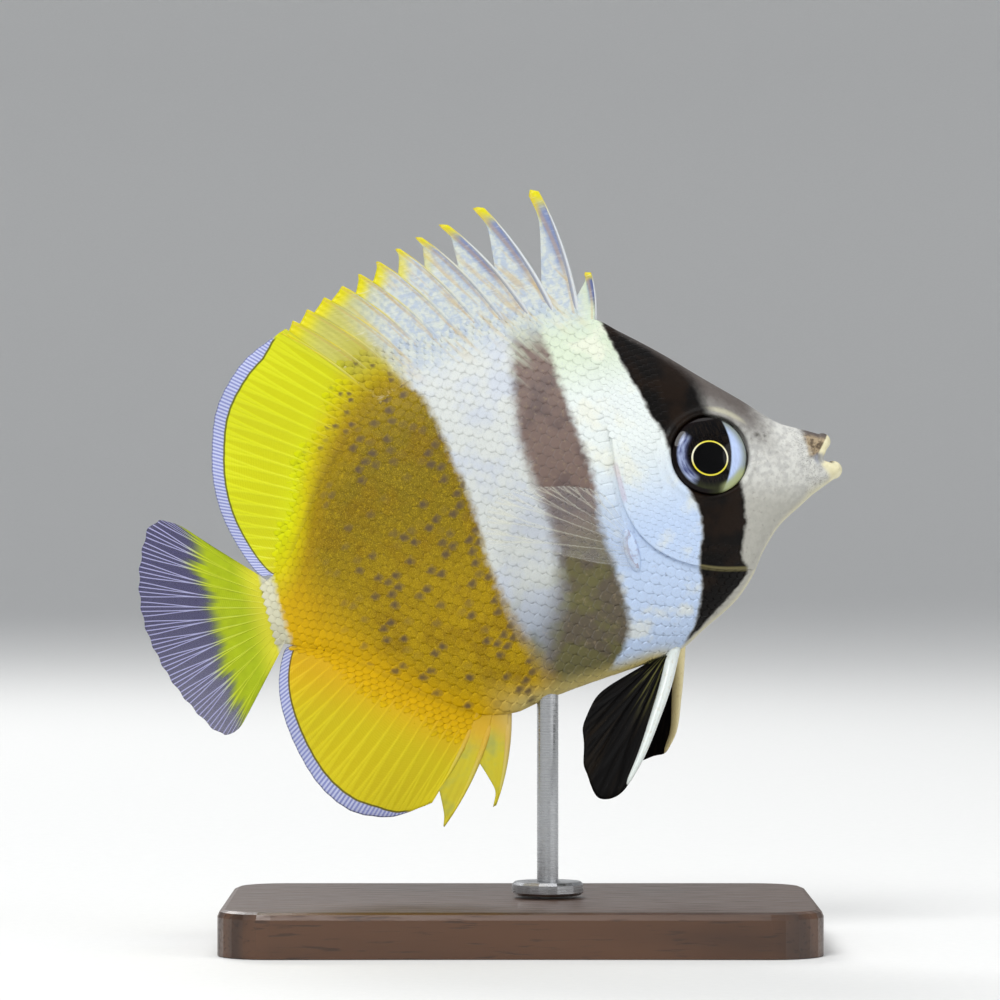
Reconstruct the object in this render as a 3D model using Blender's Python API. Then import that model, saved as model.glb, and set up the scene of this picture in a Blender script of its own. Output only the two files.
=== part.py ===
"""Klein's butterflyfish, life size and swimming a little nose-up, held over a flat base by one rod.

Sizes are in millimetres. The fish is drawn in its own frame: s runs back from the upper lip, t up
from the axis, y to its left. The world has +Z up and +X ahead of the fish, and its origin is at
the middle of the underside of the base.
"""

import math

import bmesh
import bpy
import numpy as np
from mathutils import Matrix, Vector
from mathutils.geometry import delaunay_2d_cdt

MM = 0.001
GAP = 0.3

# Pose over the base
PITCH = math.radians(15.0)
SNOUT_X = 35.4
SNOUT_Z = 54.5

# Body: the upper and lower outline and the half width, each as (s, size)
BODY_END = 65.2
BACK = [(0.9, 2.75), (3.1, 3.9), (5.2, 5.1), (8.8, 8.8), (12.5, 12.5), (16.1, 16.2), (19.8, 19.6),
        (22.5, 21.8), (27.7, 22.6), (32.4, 22.5), (37.5, 22.0), (41.9, 21.3), (46.4, 19.7),
        (50.5, 17.5), (54.1, 14.7), (57.4, 11.2), (59.8, 7.9), (62.3, 4.7), (BODY_END, 2.9)]
BELLY = [(0.9, -2.6), (3.3, -3.4), (5.3, -4.4), (8.1, -5.9), (10.8, -8.4), (12.6, -10.7),
         (15.2, -12.9), (19.2, -14.9), (22.5, -16.5), (26.1, -17.0), (34.4, -17.6), (39.2, -18.1),
         (42.1, -18.5), (45.5, -17.9), (49.0, -15.9), (52.8, -12.9), (56.6, -9.5), (60.5, -6.6),
         (BODY_END, -4.3)]
WIDTH = [(0.9, 1.25), (2.5, 1.7), (5.0, 2.5), (8.0, 3.4), (11.0, 4.2), (14.0, 5.0), (18.0, 5.8),
         (23.0, 6.3), (29.0, 6.3), (35.0, 5.8), (41.0, 4.9), (47.0, 3.9), (53.0, 3.0),
         (59.0, 2.2), (BODY_END, 1.6)]
WIDEST = 0.47
BACK_ROUND = 1.35
BELLY_ROUND = 1.1
RIDGE = 0.7
KEEL = 0.15
BACK_RIDGE_FROM = (18.0, 22.0)
BELLY_RIDGE_FROM = (38.0, 43.0)
RING_STEP = 1.35
RING_SIDE = 13
HEAD_REACH = 27.0
JAW_REACH = 8.0
TORSO_START = 10.0
CUT_REACH = 14.0

# Head
GILL_EDGE = [(21.3, 24.0), (22.6, 14.8), (23.8, 8.7), (24.6, 2.6), (24.2, -1.2), (22.8, -4.2),
             (20.2, -6.7), (16.6, -8.6), (13.1, -9.6), (9.0, -10.2)]
GILL_LIFT = 0.4
GILL_FADE = 5.0
GILL_TOP_FADE = 6.0
EYE_AT = (13.8, 3.7)
EYE_RADIUS = 4.3
EYE_BULGE = 1.0
EYE_SUNK = 0.3
EYE_RIM = 0.5
EYE_DEPTH = 1.5
EYE_BACK_ANGLES = (0.45, 0.95, 1.3)
EYE_DOME_SHARES = (0.8, 0.55, 0.28)
SOCKET_REACH = 4.0
UPPER_LIP = [(2.1, 1.35, 0.75, 0.45), (1.3, 1.0, 1.3, 0.65), (1.1, 0.0, 1.72, 0.85)]
LOWER_LIP = [(2.1, 1.3, -0.35, 0.5), (1.0, 0.95, -1.15, 0.75), (0.75, 0.0, -1.45, 1.0)]
MOUTH_LINE = [(-2.0, -0.05), (1.4, 0.1), (3.1, -0.9), (4.4, -2.2), (5.6, -6.0)]
MOUTH_GAPE = 1.6
NOSTRILS = [(8.1, 4.4, 0.42), (7.0, 3.9, 0.34)]
NOSTRIL_DEPTH = 0.6
NOSTRIL_TAPER = 0.6

# Tail stalk
STALK_START = 60.6

# Fins: half thickness at the root and of the membrane, and how far the rays and spines stand out
ROOT_HALF = 0.62
MEMBRANE = 0.26
ROOT_FADE = 5.0
RAY_LIFT = 0.17
RAY_WIDTH = 0.3
RAY_START = 2.0
RAY_STEPS = 4
SPINE_LIFT = 0.3
SPINE_TIP_LIFT = 0.02
SPINE_WIDTH = 0.5
SPINE_TIP_WIDTH = 0.14
SPINE_STEPS = 6
SPINE_BOW = 0.045

# Spiny dorsal: the foot of each spine along the back, and the arc through their tips
DORSAL_FEET = [22.1, 23.8, 25.9, 28.3, 31.0, 33.5, 35.8, 38.0, 40.1, 42.1, 44.0, 45.8, 47.5]
DORSAL_FIRST_TIP = (21.2, 26.9)
DORSAL_TIPS = [(24.5, 37.2), (30.9, 37.0), (35.3, 36.2), (38.5, 35.6), (41.2, 35.0), (43.8, 34.2),
               (46.2, 33.4), (48.4, 32.6), (50.7, 31.9), (52.9, 31.1), (54.8, 30.3), (56.5, 29.4)]
NOTCH_UNDER_SECOND = 12.6
NOTCH_FIRST = 10.6
NOTCH_FALL = 0.68
LOBE = (1.5, 0.5)
LOBE_FULL_NOTCH = 6.0
LOBE_FALL = ((0.3, 0.7), (0.75, 0.3))
CREASE_BEHIND = 0.45

# Soft dorsal
SOFT_DORSAL_ROOT = (48.5, 63.9)
SOFT_DORSAL_RAYS = 22
SOFT_DORSAL_EDGE = [(57.0, 29.1), (60.7, 27.8), (63.7, 25.4), (65.8, 22.8), (67.1, 19.7),
                    (68.1, 15.6), (68.2, 11.4), (67.3, 7.2), (65.9, 3.9), (64.6, 3.6)]

# Anal fin
ANAL_FEET = [42.6, 44.2, 46.0]
ANAL_TIPS = [(46.9, -28.0), (53.1, -28.8), (54.2, -25.9)]
ANAL_NOTCHES = [8.2, 1.8]
ANAL_SOFT_ROOT = (46.8, 63.6)
ANAL_RAYS = 18
ANAL_EDGE = [(55.0, -26.2), (57.6, -26.3), (59.9, -25.9), (62.9, -24.3), (65.4, -20.9),
             (66.8, -16.5), (67.3, -11.8), (66.8, -8.2), (65.4, -5.2), (64.3, -4.9)]

# Tail fin
CAUDAL_ROOT = (2.6, -4.0)
CAUDAL_RAYS = 17
CAUDAL_TOP = [(65.5, 2.6), (68.2, 6.1), (70.8, 9.0), (73.2, 11.6), (75.2, 12.7)]
CAUDAL_REAR = [(75.2, 12.7), (76.9, 11.7), (79.0, 7.0), (79.8, 2.0), (79.2, -2.6), (77.9, -6.7),
               (75.6, -11.2), (74.3, -12.6)]
CAUDAL_LOW = [(74.3, -12.6), (72.7, -12.4), (69.5, -9.1), (65.5, -4.0)]

# Paired fins, as seen from the side
PECTORAL_ROOT = [(24.8, -6.4), (24.9, -4.2), (24.9, -2.1)]
PECTORAL_EDGE = [(24.9, -2.1), (25.6, 1.0), (27.0, 3.1), (30.8, 4.7), (36.4, 5.5), (38.9, 4.5),
                 (39.9, 2.6), (40.1, 0.5), (34.7, -1.7), (28.9, -4.7), (24.8, -6.4)]
PAIRED_ROOT_HALF = 0.45
PECTORAL_STAND_OFF = 0.8
PECTORAL_SPREAD = 0.2
PECTORAL_CURVE = 0.004
PECTORAL_RAYS = 13
PELVIC_RIGHT = [(23.3, -17.4), (25.4, -20.4), (28.6, -25.2), (32.4, -29.6), (34.6, -30.6),
                (36.4, -28.6), (36.2, -25.4), (35.5, -22.4), (33.6, -19.6), (30.6, -18.1),
                (26.3, -17.5)]
PELVIC_LEFT = [(22.7, -17.3), (23.6, -20.2), (25.0, -24.4), (26.2, -27.0), (28.2, -27.9),
               (30.6, -27.4), (31.8, -25.0), (31.8, -22.2), (30.4, -19.8), (28.4, -18.3),
               (25.7, -17.5)]
PELVIC_SPLAY = {"right": 0.36, "left": 0.55}
PELVIC_ROOT_Y = 0.85
PELVIC_SPINE_INSET = 0.3
PELVIC_RAYS = 5

# Stand
BASE_LENGTH = 66.0
BASE_WIDTH = 46.0
BASE_HEIGHT = 5.0
BASE_CORNER = 6.0
BASE_BEVEL = 0.8
ROD_X = 3.1
ROD_RADIUS = 1.2
ROD_INSIDE = 4.0
ROD_HOLE = 30.0
ROD_EDGE = 0.3
COLLAR_RADIUS = 4.0
COLLAR_HEIGHT = 1.5
ROUND_SIDES = 24

COLOURS = {
    "scales": ((0.52, 0.42, 0.16, 1.0), 0.42),
    "face": ((0.62, 0.62, 0.6, 1.0), 0.4),
    "eye": ((0.015, 0.015, 0.02, 1.0), 0.08),
    "yellow_fin": ((0.72, 0.62, 0.05, 1.0), 0.45),
    "clear_fin": ((0.7, 0.74, 0.8, 1.0), 0.35),
    "black_fin": ((0.02, 0.017, 0.015, 1.0), 0.45),
    "wood": ((0.12, 0.06, 0.03, 1.0), 0.5),
    "steel": ((0.55, 0.56, 0.58, 1.0), 0.3),
}


def clear_scene():
    for item in list(bpy.data.objects):
        bpy.data.objects.remove(item, do_unlink=True)


def material(name):
    """The Principled material of this name, made when it is first asked for."""
    found = bpy.data.materials.get(name)
    if found:
        return found
    colour, roughness = COLOURS[name]
    found = bpy.data.materials.new(name)
    found.use_nodes = True
    shader = found.node_tree.nodes["Principled BSDF"]
    shader.inputs["Base Color"].default_value = colour
    shader.inputs["Roughness"].default_value = roughness
    shader.inputs["Metallic"].default_value = 1.0 if name == "steel" else 0.0
    return found


def slopes(x, y):
    """Slopes that keep a cubic through the points from overshooting them."""
    step = np.diff(y) / np.diff(x)
    middle = np.where(step[:-1] * step[1:] > 0, 2 / (1 / step[:-1] + 1 / step[1:] + 1e-12), 0.0)
    return np.concatenate([[step[0]], middle, [step[-1]]])


def smooth_value(pairs):
    """A smooth function of s through (s, value) pairs."""
    x, y = np.array(pairs, float).T
    with np.errstate(divide="ignore", invalid="ignore"):
        m = np.nan_to_num(slopes(x, y))

    def value(s):
        s = min(max(s, x[0]), x[-1])
        i = min(int(np.searchsorted(x, s, "right")) - 1, len(x) - 2)
        gap = x[i + 1] - x[i]
        u = (s - x[i]) / gap
        ends = y[i] * (1 + 2 * u) * (1 - u) ** 2 + y[i + 1] * u * u * (3 - 2 * u)
        return float(ends + gap * (m[i] * u * (1 - u) ** 2 - m[i + 1] * u * u * (1 - u)))

    return value


def smooth_line(points, count):
    """Evenly spaced points on a smooth curve through the given ones."""
    p = np.array(points, float)
    p = np.vstack([2 * p[0] - p[1], p, 2 * p[-1] - p[-2]])
    fine = []
    for i in range(1, len(p) - 2):
        for u in np.linspace(0, 1, 16, endpoint=False):
            a = -0.5 * p[i - 1] + 1.5 * p[i] - 1.5 * p[i + 1] + 0.5 * p[i + 2]
            b = p[i - 1] - 2.5 * p[i] + 2 * p[i + 1] - 0.5 * p[i + 2]
            c = 0.5 * (p[i + 1] - p[i - 1])
            fine.append(((a * u + b) * u + c) * u + p[i])
    fine = np.array(fine + [p[-2]])
    length = np.concatenate([[0], np.cumsum(np.linalg.norm(np.diff(fine, axis=0), axis=1))])
    even = np.linspace(0, length[-1], count)
    return [tuple(float(np.interp(e, length, column)) for column in fine.T) for e in even]


def to_segment(p, a, b):
    """Distance from p to the segment from a to b, and how far along it the nearest point lies."""
    px, py = p[0] - a[0], p[1] - a[1]
    dx, dy = b[0] - a[0], b[1] - a[1]
    share = min(max((px * dx + py * dy) / (dx * dx + dy * dy), 0.0), 1.0)
    return math.hypot(px - share * dx, py - share * dy), share


def to_line(p, line):
    return min(to_segment(p, a, b)[0] for a, b in zip(line, line[1:]))


def offset_line(line, distance):
    """The line moved to the left of its own direction."""
    moved = []
    for i, point in enumerate(line):
        before, after = line[max(i - 1, 0)], line[min(i + 1, len(line) - 1)]
        dx, dy = after[0] - before[0], after[1] - before[1]
        size = math.hypot(dx, dy)
        moved.append((point[0] - dy / size * distance, point[1] + dx / size * distance))
    return moved


back = smooth_value(BACK)
belly = smooth_value(BELLY)
width = smooth_value(WIDTH)
gill_edge = smooth_line(GILL_EDGE, 26)


def ease(u):
    u = min(max(u, 0.0), 1.0)
    return u * u * (3 - 2 * u)


def ridge(s, stretch):
    """Half width of the flat edge that the upright fins grow from."""
    start, full = stretch
    return KEEL + (RIDGE - KEEL) * ease((s - start) / (full - start))


def section_middle(s):
    return belly(s) + WIDEST * (back(s) - belly(s))


def half_width(s, t):
    """Half width of the body at this place, without the gill cover's lift."""
    middle = section_middle(s)
    upper = t > middle
    reach = back(s) - middle if upper else middle - belly(s)
    rise = min(abs(t - middle) / reach, 1.0)
    edge = ridge(s, BACK_RIDGE_FROM if upper else BELLY_RIDGE_FROM)
    power = (BACK_ROUND if upper else BELLY_ROUND) / 2
    return edge + (width(s) - edge) * (1 - rise * rise) ** power


def gill_lift(s, t):
    """How far the gill cover stands out over the body behind it."""
    inside = math.exp(-to_line((s, t), gill_edge) / GILL_FADE)
    return GILL_LIFT * inside * ease((back(s) - t) / GILL_TOP_FADE)


def place(s, t, y):
    return Vector((-s * MM, y * MM, t * MM))


def new_object(name, mesh, look, parent=None):
    made = bpy.data.objects.new(name, mesh)
    bpy.context.scene.collection.objects.link(made)
    made.data.materials.clear()
    made.data.materials.append(material(look))
    made.data.shade_smooth()
    made.data.set_sharp_from_angle(angle=math.radians(40))
    made.parent = parent
    return made


def mesh_of(name, points, faces):
    mesh = bpy.data.meshes.new(name)
    mesh.from_pydata([tuple(p) for p in points], [], faces)
    work = bmesh.new()
    work.from_mesh(mesh)
    bmesh.ops.recalc_face_normals(work, faces=work.faces)
    work.to_mesh(mesh)
    work.free()
    return mesh


def keep_largest(mesh):
    """Only the closed surface with the most corners stays."""
    work = bmesh.new()
    work.from_mesh(mesh)
    left = set(work.verts)
    groups = []
    while left:
        group, edge = set(), [left.pop()]
        while edge:
            vert = edge.pop()
            group.add(vert)
            for link in vert.link_edges:
                other = link.other_vert(vert)
                if other in left:
                    left.discard(other)
                    edge.append(other)
        groups.append(group)
    groups.sort(key=len, reverse=True)
    spare = [vert for group in groups[1:] for vert in group]
    bmesh.ops.delete(work, geom=spare, context="VERTS")
    work.to_mesh(mesh)
    work.free()


def combine(target, tools, operation):
    """One Boolean with a collection of closed pieces, applied, with the pieces then removed."""
    group = bpy.data.collections.new("pieces")
    for tool in tools:
        bpy.context.scene.collection.objects.unlink(tool)
        group.objects.link(tool)
    bpy.context.scene.collection.children.link(group)
    modifier = target.modifiers.new("combine", "BOOLEAN")
    modifier.operation = operation
    modifier.operand_type = "COLLECTION"
    modifier.collection = group
    modifier.solver = "EXACT"
    bpy.context.view_layer.update()
    graph = bpy.context.evaluated_depsgraph_get()
    mesh = bpy.data.meshes.new_from_object(target.evaluated_get(graph))
    target.modifiers.remove(modifier)
    target.data = mesh
    for tool in tools:
        bpy.data.objects.remove(tool, do_unlink=True)
    bpy.data.collections.remove(group)
    keep_largest(target.data)


def body_loft(name, start, end, lift, parent):
    """The body between two stations, as rings of points across it."""
    count = max(2, round((end - start) / RING_STEP)) + 1
    angles = np.linspace(-math.pi / 2, math.pi / 2, RING_SIDE)
    points = []
    for s in np.linspace(start, end, count):
        middle = section_middle(s)
        side = []
        for angle in angles:
            rise = math.sin(angle)
            reach = back(s) - middle if rise > 0 else middle - belly(s)
            t = middle + reach * rise
            side.append((t, half_width(s, t) + (gill_lift(s, t) if lift else 0.0)))
        points += [place(s, t, -y) for t, y in side]
        points += [place(s, t, y) for t, y in reversed(side)]
    around = 2 * RING_SIDE
    faces = [tuple(range(around)), tuple(range((count - 1) * around, count * around))]
    for ring in range(count - 1):
        for i in range(around):
            j = (i + 1) % around
            low, high = ring * around, (ring + 1) * around
            faces.append((low + i, low + j, high + j, high + i))
    return new_object(name, mesh_of(name, points, faces), "scales", parent)


def prism(name, outline, parent):
    """A cutter: an outline in the side view carried right across the body."""
    n = len(outline)
    points = [place(s, t, y) for y in (-CUT_REACH, CUT_REACH) for s, t in outline]
    faces = [tuple(range(n)), tuple(range(n, 2 * n))]
    faces += [(i, (i + 1) % n, n + (i + 1) % n, n + i) for i in range(n)]
    made = new_object(name, mesh_of(name, points, faces), "scales", parent)
    made.hide_render = True
    made.display_type = "WIRE"
    return made


def lathe(name, profile, look, parent, sides=ROUND_SIDES):
    """A turned piece about its own Z, from (radius, height) pairs that start and end on the axis."""
    points = [Vector((0, 0, profile[0][1] * MM))]
    for radius, height in profile[1:-1]:
        for i in range(sides):
            angle = 2 * math.pi * i / sides
            points.append(Vector((math.cos(angle) * radius, math.sin(angle) * radius, height)) * MM)
    points.append(Vector((0, 0, profile[-1][1] * MM)))
    last = len(points) - 1
    faces = []
    for i in range(sides):
        j = (i + 1) % sides
        faces.append((0, 1 + j, 1 + i))
        faces.append((last - sides + i, last - sides + j, last))
        for ring in range(len(profile) - 3):
            low = 1 + ring * sides
            faces.append((low + i, low + j, low + sides + j, low + sides + i))
    return new_object(name, mesh_of(name, points, faces), look, parent)


def tube(name, path, look, parent, sides=10):
    """A round bar along (s, y, t, radius) points, closed at both ends."""
    centres = [place(s, t, y) for s, y, t, _ in path]
    points = []
    for i, (_, _, _, radius) in enumerate(path):
        ahead = (centres[min(i + 1, len(path) - 1)] - centres[max(i - 1, 0)]).normalized()
        across = ahead.cross(Vector((0, 0, 1))).normalized()
        over = across.cross(ahead)
        for k in range(sides):
            angle = 2 * math.pi * k / sides
            turn = across * math.cos(angle) + over * math.sin(angle)
            points.append(centres[i] + turn * radius * MM)
    faces = [tuple(range(sides)), tuple(range(len(points) - sides, len(points)))]
    for ring in range(len(path) - 1):
        for k in range(sides):
            n, low = (k + 1) % sides, ring * sides
            faces.append((low + k, low + n, low + sides + n, low + sides + k))
    return new_object(name, mesh_of(name, points, faces), look, parent)


def lip(name, half, parent):
    """A lip from one corner of the mouth round the front to the other."""
    mirrored = [(s, -y, t, radius) for s, y, t, radius in reversed(half[:-1])]
    return tube(name, smooth_line(half + mirrored, 13), "face", parent)


def eye_frame(side):
    """Where an eye sits, with its axis square to the cheek. Side is 1 for the left."""
    s, t = EYE_AT
    tilt_s = (half_width(s + 3, t) - half_width(s - 3, t)) / 6
    tilt_t = (half_width(s, t + 3) - half_width(s, t - 3)) / 6
    outward = Vector((tilt_s, side, -tilt_t)).normalized()
    up = Vector((0, 0, 1))
    ahead = up.cross(outward).normalized()
    turn = Matrix((ahead, outward.cross(ahead), outward)).transposed().to_4x4()
    at = place(s, t, side * half_width(s, t)) - outward * EYE_SUNK * MM
    return Matrix.Translation(at) @ turn


def eye_profile(extra, front):
    """The eye's outline from its back to its front; extra widens it for the socket."""
    radius = EYE_RADIUS + extra
    depth = EYE_DEPTH + extra
    inner = [(radius * math.sin(a), -EYE_RIM - depth * math.cos(a)) for a in EYE_BACK_ANGLES]
    profile = [(0.0, -EYE_RIM - depth)] + inner + [(radius, -EYE_RIM), (radius, 0.0)]
    if front:
        return profile + [(radius, front), (0.0, front)]
    for share in EYE_DOME_SHARES:
        profile.append((radius * share, EYE_BULGE * (1 - share * share)))
    return profile + [(0.0, EYE_BULGE)]


def eye(side, parent):
    made = lathe("eye_left" if side > 0 else "eye_right", eye_profile(0.0, 0.0), "eye", parent, 32)
    made.data.transform(eye_frame(side))
    return made


def socket(side, parent):
    made = lathe("socket", eye_profile(GAP, SOCKET_REACH), "face", parent, 32)
    made.data.transform(eye_frame(side))
    return made


def nostril(side, s, t, radius, parent):
    """A small pit in the side of the snout."""
    narrow = radius * NOSTRIL_TAPER
    profile = [(0, -NOSTRIL_DEPTH), (narrow, -NOSTRIL_DEPTH), (radius, NOSTRIL_DEPTH), (0, NOSTRIL_DEPTH)]
    made = lathe("nostril", profile, "face", parent, 10)
    at = place(s, t, side * half_width(s, t))
    made.data.transform(Matrix.Translation(at) @ Matrix.Rotation(-side * math.pi / 2, 4, "X"))
    return made


def mouth_below(grow):
    """The side view of the lower jaw, grown forward over the gape when it is cut from the head."""
    line = list(MOUTH_LINE)
    if grow:
        line = offset_line(line, GAP)
        line[0] = (line[0][0], line[0][1] + MOUTH_GAPE)
    return line + [(-2.0, line[-1][1] - 1.0)]


def head(parent):
    made = body_loft("head", BACK[0][0], HEAD_REACH, True, parent)
    made.data.materials[0] = material("face")
    combine(made, [lip("upper_lip", UPPER_LIP, parent)], "UNION")
    behind = gill_edge + [(9.0, -22.0), (40.0, -22.0), (40.0, 24.0)]
    cuts = [prism("behind_gills", behind, parent), prism("jaw_room", mouth_below(True), parent)]
    combine(made, cuts, "DIFFERENCE")
    pits = []
    for side in (1, -1):
        pits.append(socket(side, parent))
        pits += [nostril(side, s, t, radius, parent) for s, t, radius in NOSTRILS]
    combine(made, pits, "DIFFERENCE")
    return made


def lower_jaw(parent):
    made = body_loft("lower_jaw", BACK[0][0], JAW_REACH, False, parent)
    made.data.materials[0] = material("face")
    combine(made, [lip("lower_lip", LOWER_LIP, parent)], "UNION")
    combine(made, [prism("jaw", mouth_below(False), parent)], "INTERSECT")
    return made


def torso(parent):
    made = body_loft("torso", TORSO_START, STALK_START - GAP / 2, False, parent)
    line = offset_line(gill_edge, GAP)
    front = line + [(5.0, line[-1][1]), (5.0, line[0][1])]
    hole = lathe("rod_hole", [(0, 0), (ROD_RADIUS + GAP, 0), (ROD_RADIUS + GAP, ROD_HOLE), (0, ROD_HOLE)],
                 "steel", parent, ROUND_SIDES)
    top = rod_top() + GAP
    upright = Matrix.Rotation(PITCH, 4, "Y")
    local = upright @ Matrix.Translation(Vector((ROD_X - SNOUT_X, 0, top - ROD_HOLE - SNOUT_Z)) * MM)
    hole.data.transform(local)
    combine(made, [prism("front", front, parent), hole], "DIFFERENCE")
    return made


def rod_top():
    """World height of the rod's end, inside the belly above where it enters."""
    s = (SNOUT_X - ROD_X) / math.cos(PITCH)
    for _ in range(8):
        s = (SNOUT_X - ROD_X - belly(s) * math.sin(PITCH)) / math.cos(PITCH)
    entry = SNOUT_Z - s * math.sin(PITCH) + belly(s) * math.cos(PITCH)
    return entry + ROD_INSIDE


def tail_stalk(parent):
    return body_loft("tail_stalk", STALK_START + GAP / 2, BODY_END, False, parent)


def blade(name, look, parent, loop, lines, half, bend):
    """A thin plate: its outline is cut into triangles once, and both faces use them."""
    corners = [Vector(p) for p in loop]
    ring = list(range(len(corners)))
    edges = []
    for line in lines:
        first = len(corners)
        corners += [Vector(p) for p in line]
        edges += [(i, i + 1) for i in range(first, len(corners) - 1)]
    found = delaunay_2d_cdt(corners, edges, [ring], 1, 0.002)
    flat, faces = found[0], [tuple(face) for face in found[2]]
    n = len(flat)
    points = [bend(p[0], p[1], half(p)) for p in flat] + [bend(p[0], p[1], -half(p)) for p in flat]
    used = {}
    for face in faces:
        for a, b in zip(face, face[1:] + face[:1]):
            used[(a, b)] = True
    rims = [(a, b) for a, b in used if (b, a) not in used]
    both = faces + [tuple(n + i for i in reversed(face)) for face in faces]
    for a, b in rims:
        both += [(b, a, n + a), (b, n + a, n + b)]
    return new_object(name, mesh_of(name, points, both), look, parent)


def along(a, b, share):
    return (a[0] + (b[0] - a[0]) * share, a[1] + (b[1] - a[1]) * share)


def line_between(a, b, steps):
    return [along(a, b, i / steps) for i in range(steps + 1)]


def bowed_line(foot, tip, bow, steps):
    """From foot to tip, bent forward by a share of its length."""
    dx, dy = tip[0] - foot[0], tip[1] - foot[1]
    line = []
    for i in range(steps + 1):
        u = i / steps
        push = 4 * u * (1 - u) * bow
        ahead = -abs(dy) * push
        line.append((foot[0] + dx * u + ahead, foot[1] + dy * u + math.copysign(dx, dy) * push))
    return line


def point_back_from_tip(line, distance):
    """The point at this distance down a spine, and the line from the foot up to it."""
    left = distance
    for i in range(len(line) - 1, 0, -1):
        step = math.dist(line[i], line[i - 1])
        if step >= left:
            point = along(line[i], line[i - 1], left / step)
            return point, line[:i] + [point]
        left -= step
    return line[1], line[:2]


def share_along(p, line):
    """Distance from p to the line, and how far along it the nearest point lies."""
    best = (1e9, 0.0)
    for i, (a, b) in enumerate(zip(line, line[1:])):
        distance, part = to_segment(p, a, b)
        if distance < best[0]:
            best = (distance, (i + part) / (len(line) - 1))
    return best


def fin_half(root, rays, spines, root_half=ROOT_HALF):
    """Half thickness of a fin: full at its root, thin further out, raised along rays and spines."""
    def half(p):
        out = to_line(p, root)
        lift = 0.0
        for line in rays:
            distance, _ = share_along(p, line)
            start = ease(out / RAY_START)
            lift = max(lift, start * RAY_LIFT * max(0.0, 1 - distance / RAY_WIDTH))
        for line in spines:
            distance, share = share_along(p, line)
            reach = SPINE_WIDTH + (SPINE_TIP_WIDTH - SPINE_WIDTH) * share
            height = SPINE_LIFT + (SPINE_TIP_LIFT - SPINE_LIFT) * share
            lift = max(lift, height * max(0.0, 1 - distance / reach))
        return root_half + (MEMBRANE - root_half) * ease(out / ROOT_FADE) + lift
    return half


def fan(root, edge, bow=0.0):
    """Lines from root to edge: those at odd places carry rays, and those between them are valleys."""
    lines = [bowed_line(a, b, bow, RAY_STEPS) for a, b in zip(root, edge)]
    return lines[1:-1], lines[1:-1:2]


def back_root(start, end, count):
    line = [(s, back(s)) for s in np.linspace(start, end, count)]
    return [(float(s), float(t)) for s, t in offset_line(line, GAP)]


def belly_root(start, end, count):
    line = [(s, belly(s)) for s in np.linspace(start, end, count)]
    return [(float(s), float(t)) for s, t in offset_line(line, -GAP)]


def on_root(root, s):
    """The point of the root line at this station."""
    columns = np.array(root).T
    return (s, float(np.interp(s, *columns)))


def spine_axis(front, up):
    """The crest of a spine, behind its front edge by its own half width."""
    shift = SPINE_WIDTH - SPINE_TIP_WIDTH
    behind = offset_line(front, -up * SPINE_WIDTH)
    slim = [1 - shift / SPINE_WIDTH * i / SPINE_STEPS for i in range(len(front))]
    return [along(f, b, share) for f, b, share in zip(front, behind, slim)]


def spine_fan(root, feet, tips, notches, up):
    """Spines with the membrane between them: its outer edge, the crease lines and the spine axes."""
    fronts = [bowed_line(on_root(root, s), tip, SPINE_BOW, SPINE_STEPS) for s, tip in zip(feet, tips)]
    axes = [spine_axis(front, up) for front in fronts]
    edge, creases = [], [axes[0][:-1]]
    for i, tip in enumerate(tips[:-1]):
        notch, low = point_back_from_tip(fronts[i + 1], notches[i])
        size = min(notches[i] / LOBE_FULL_NOTCH, 1.0)
        lobe = (tip[0] + LOBE[0] * size, tip[1] + up * LOBE[1] * size)
        edge += [tip, lobe]
        for share, forward in LOBE_FALL:
            s, t = along(lobe, notch, share)
            edge.append((s - forward * size, t))
        edge.append(notch)
        beyond = [p for p in reversed(fronts[i + 1][:-1]) if math.dist(p, tips[i + 1]) < notches[i]]
        edge += beyond[::-1]
        creases += [low, axes[i + 1][:-1]]
    behind = [offset_line(axis, -up * CREASE_BEHIND)[:-2] for axis in axes]
    return edge + [tips[-1]], creases + behind, axes


def dorsal_fin_spiny(parent):
    root = back_root(DORSAL_FEET[0] - 0.1, SOFT_DORSAL_ROOT[0] - GAP, 26)
    notches = [NOTCH_UNDER_SECOND]
    notches += [NOTCH_FIRST * NOTCH_FALL ** i for i in range(len(DORSAL_TIPS) - 1)]
    tips = [DORSAL_FIRST_TIP] + DORSAL_TIPS
    edge, creases, axes = spine_fan(root, DORSAL_FEET, tips, notches, 1)
    front = bowed_line(root[0], DORSAL_FIRST_TIP, SPINE_BOW, 3)
    loop = front[1:-1] + edge + root[:0:-1] + [root[0]]
    half = fin_half(root, [], axes)
    return blade("dorsal_fin_spiny", "yellow_fin", parent, loop, creases, half, place)


def dorsal_fin_soft(parent):
    count = 2 * SOFT_DORSAL_RAYS + 1
    root = back_root(*SOFT_DORSAL_ROOT, count)
    edge = smooth_line(SOFT_DORSAL_EDGE, count)
    creases, rays = fan(root, edge)
    half = fin_half(root, rays, [])
    return blade("dorsal_fin_soft", "yellow_fin", parent, edge + root[::-1], creases, half, place)


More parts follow.
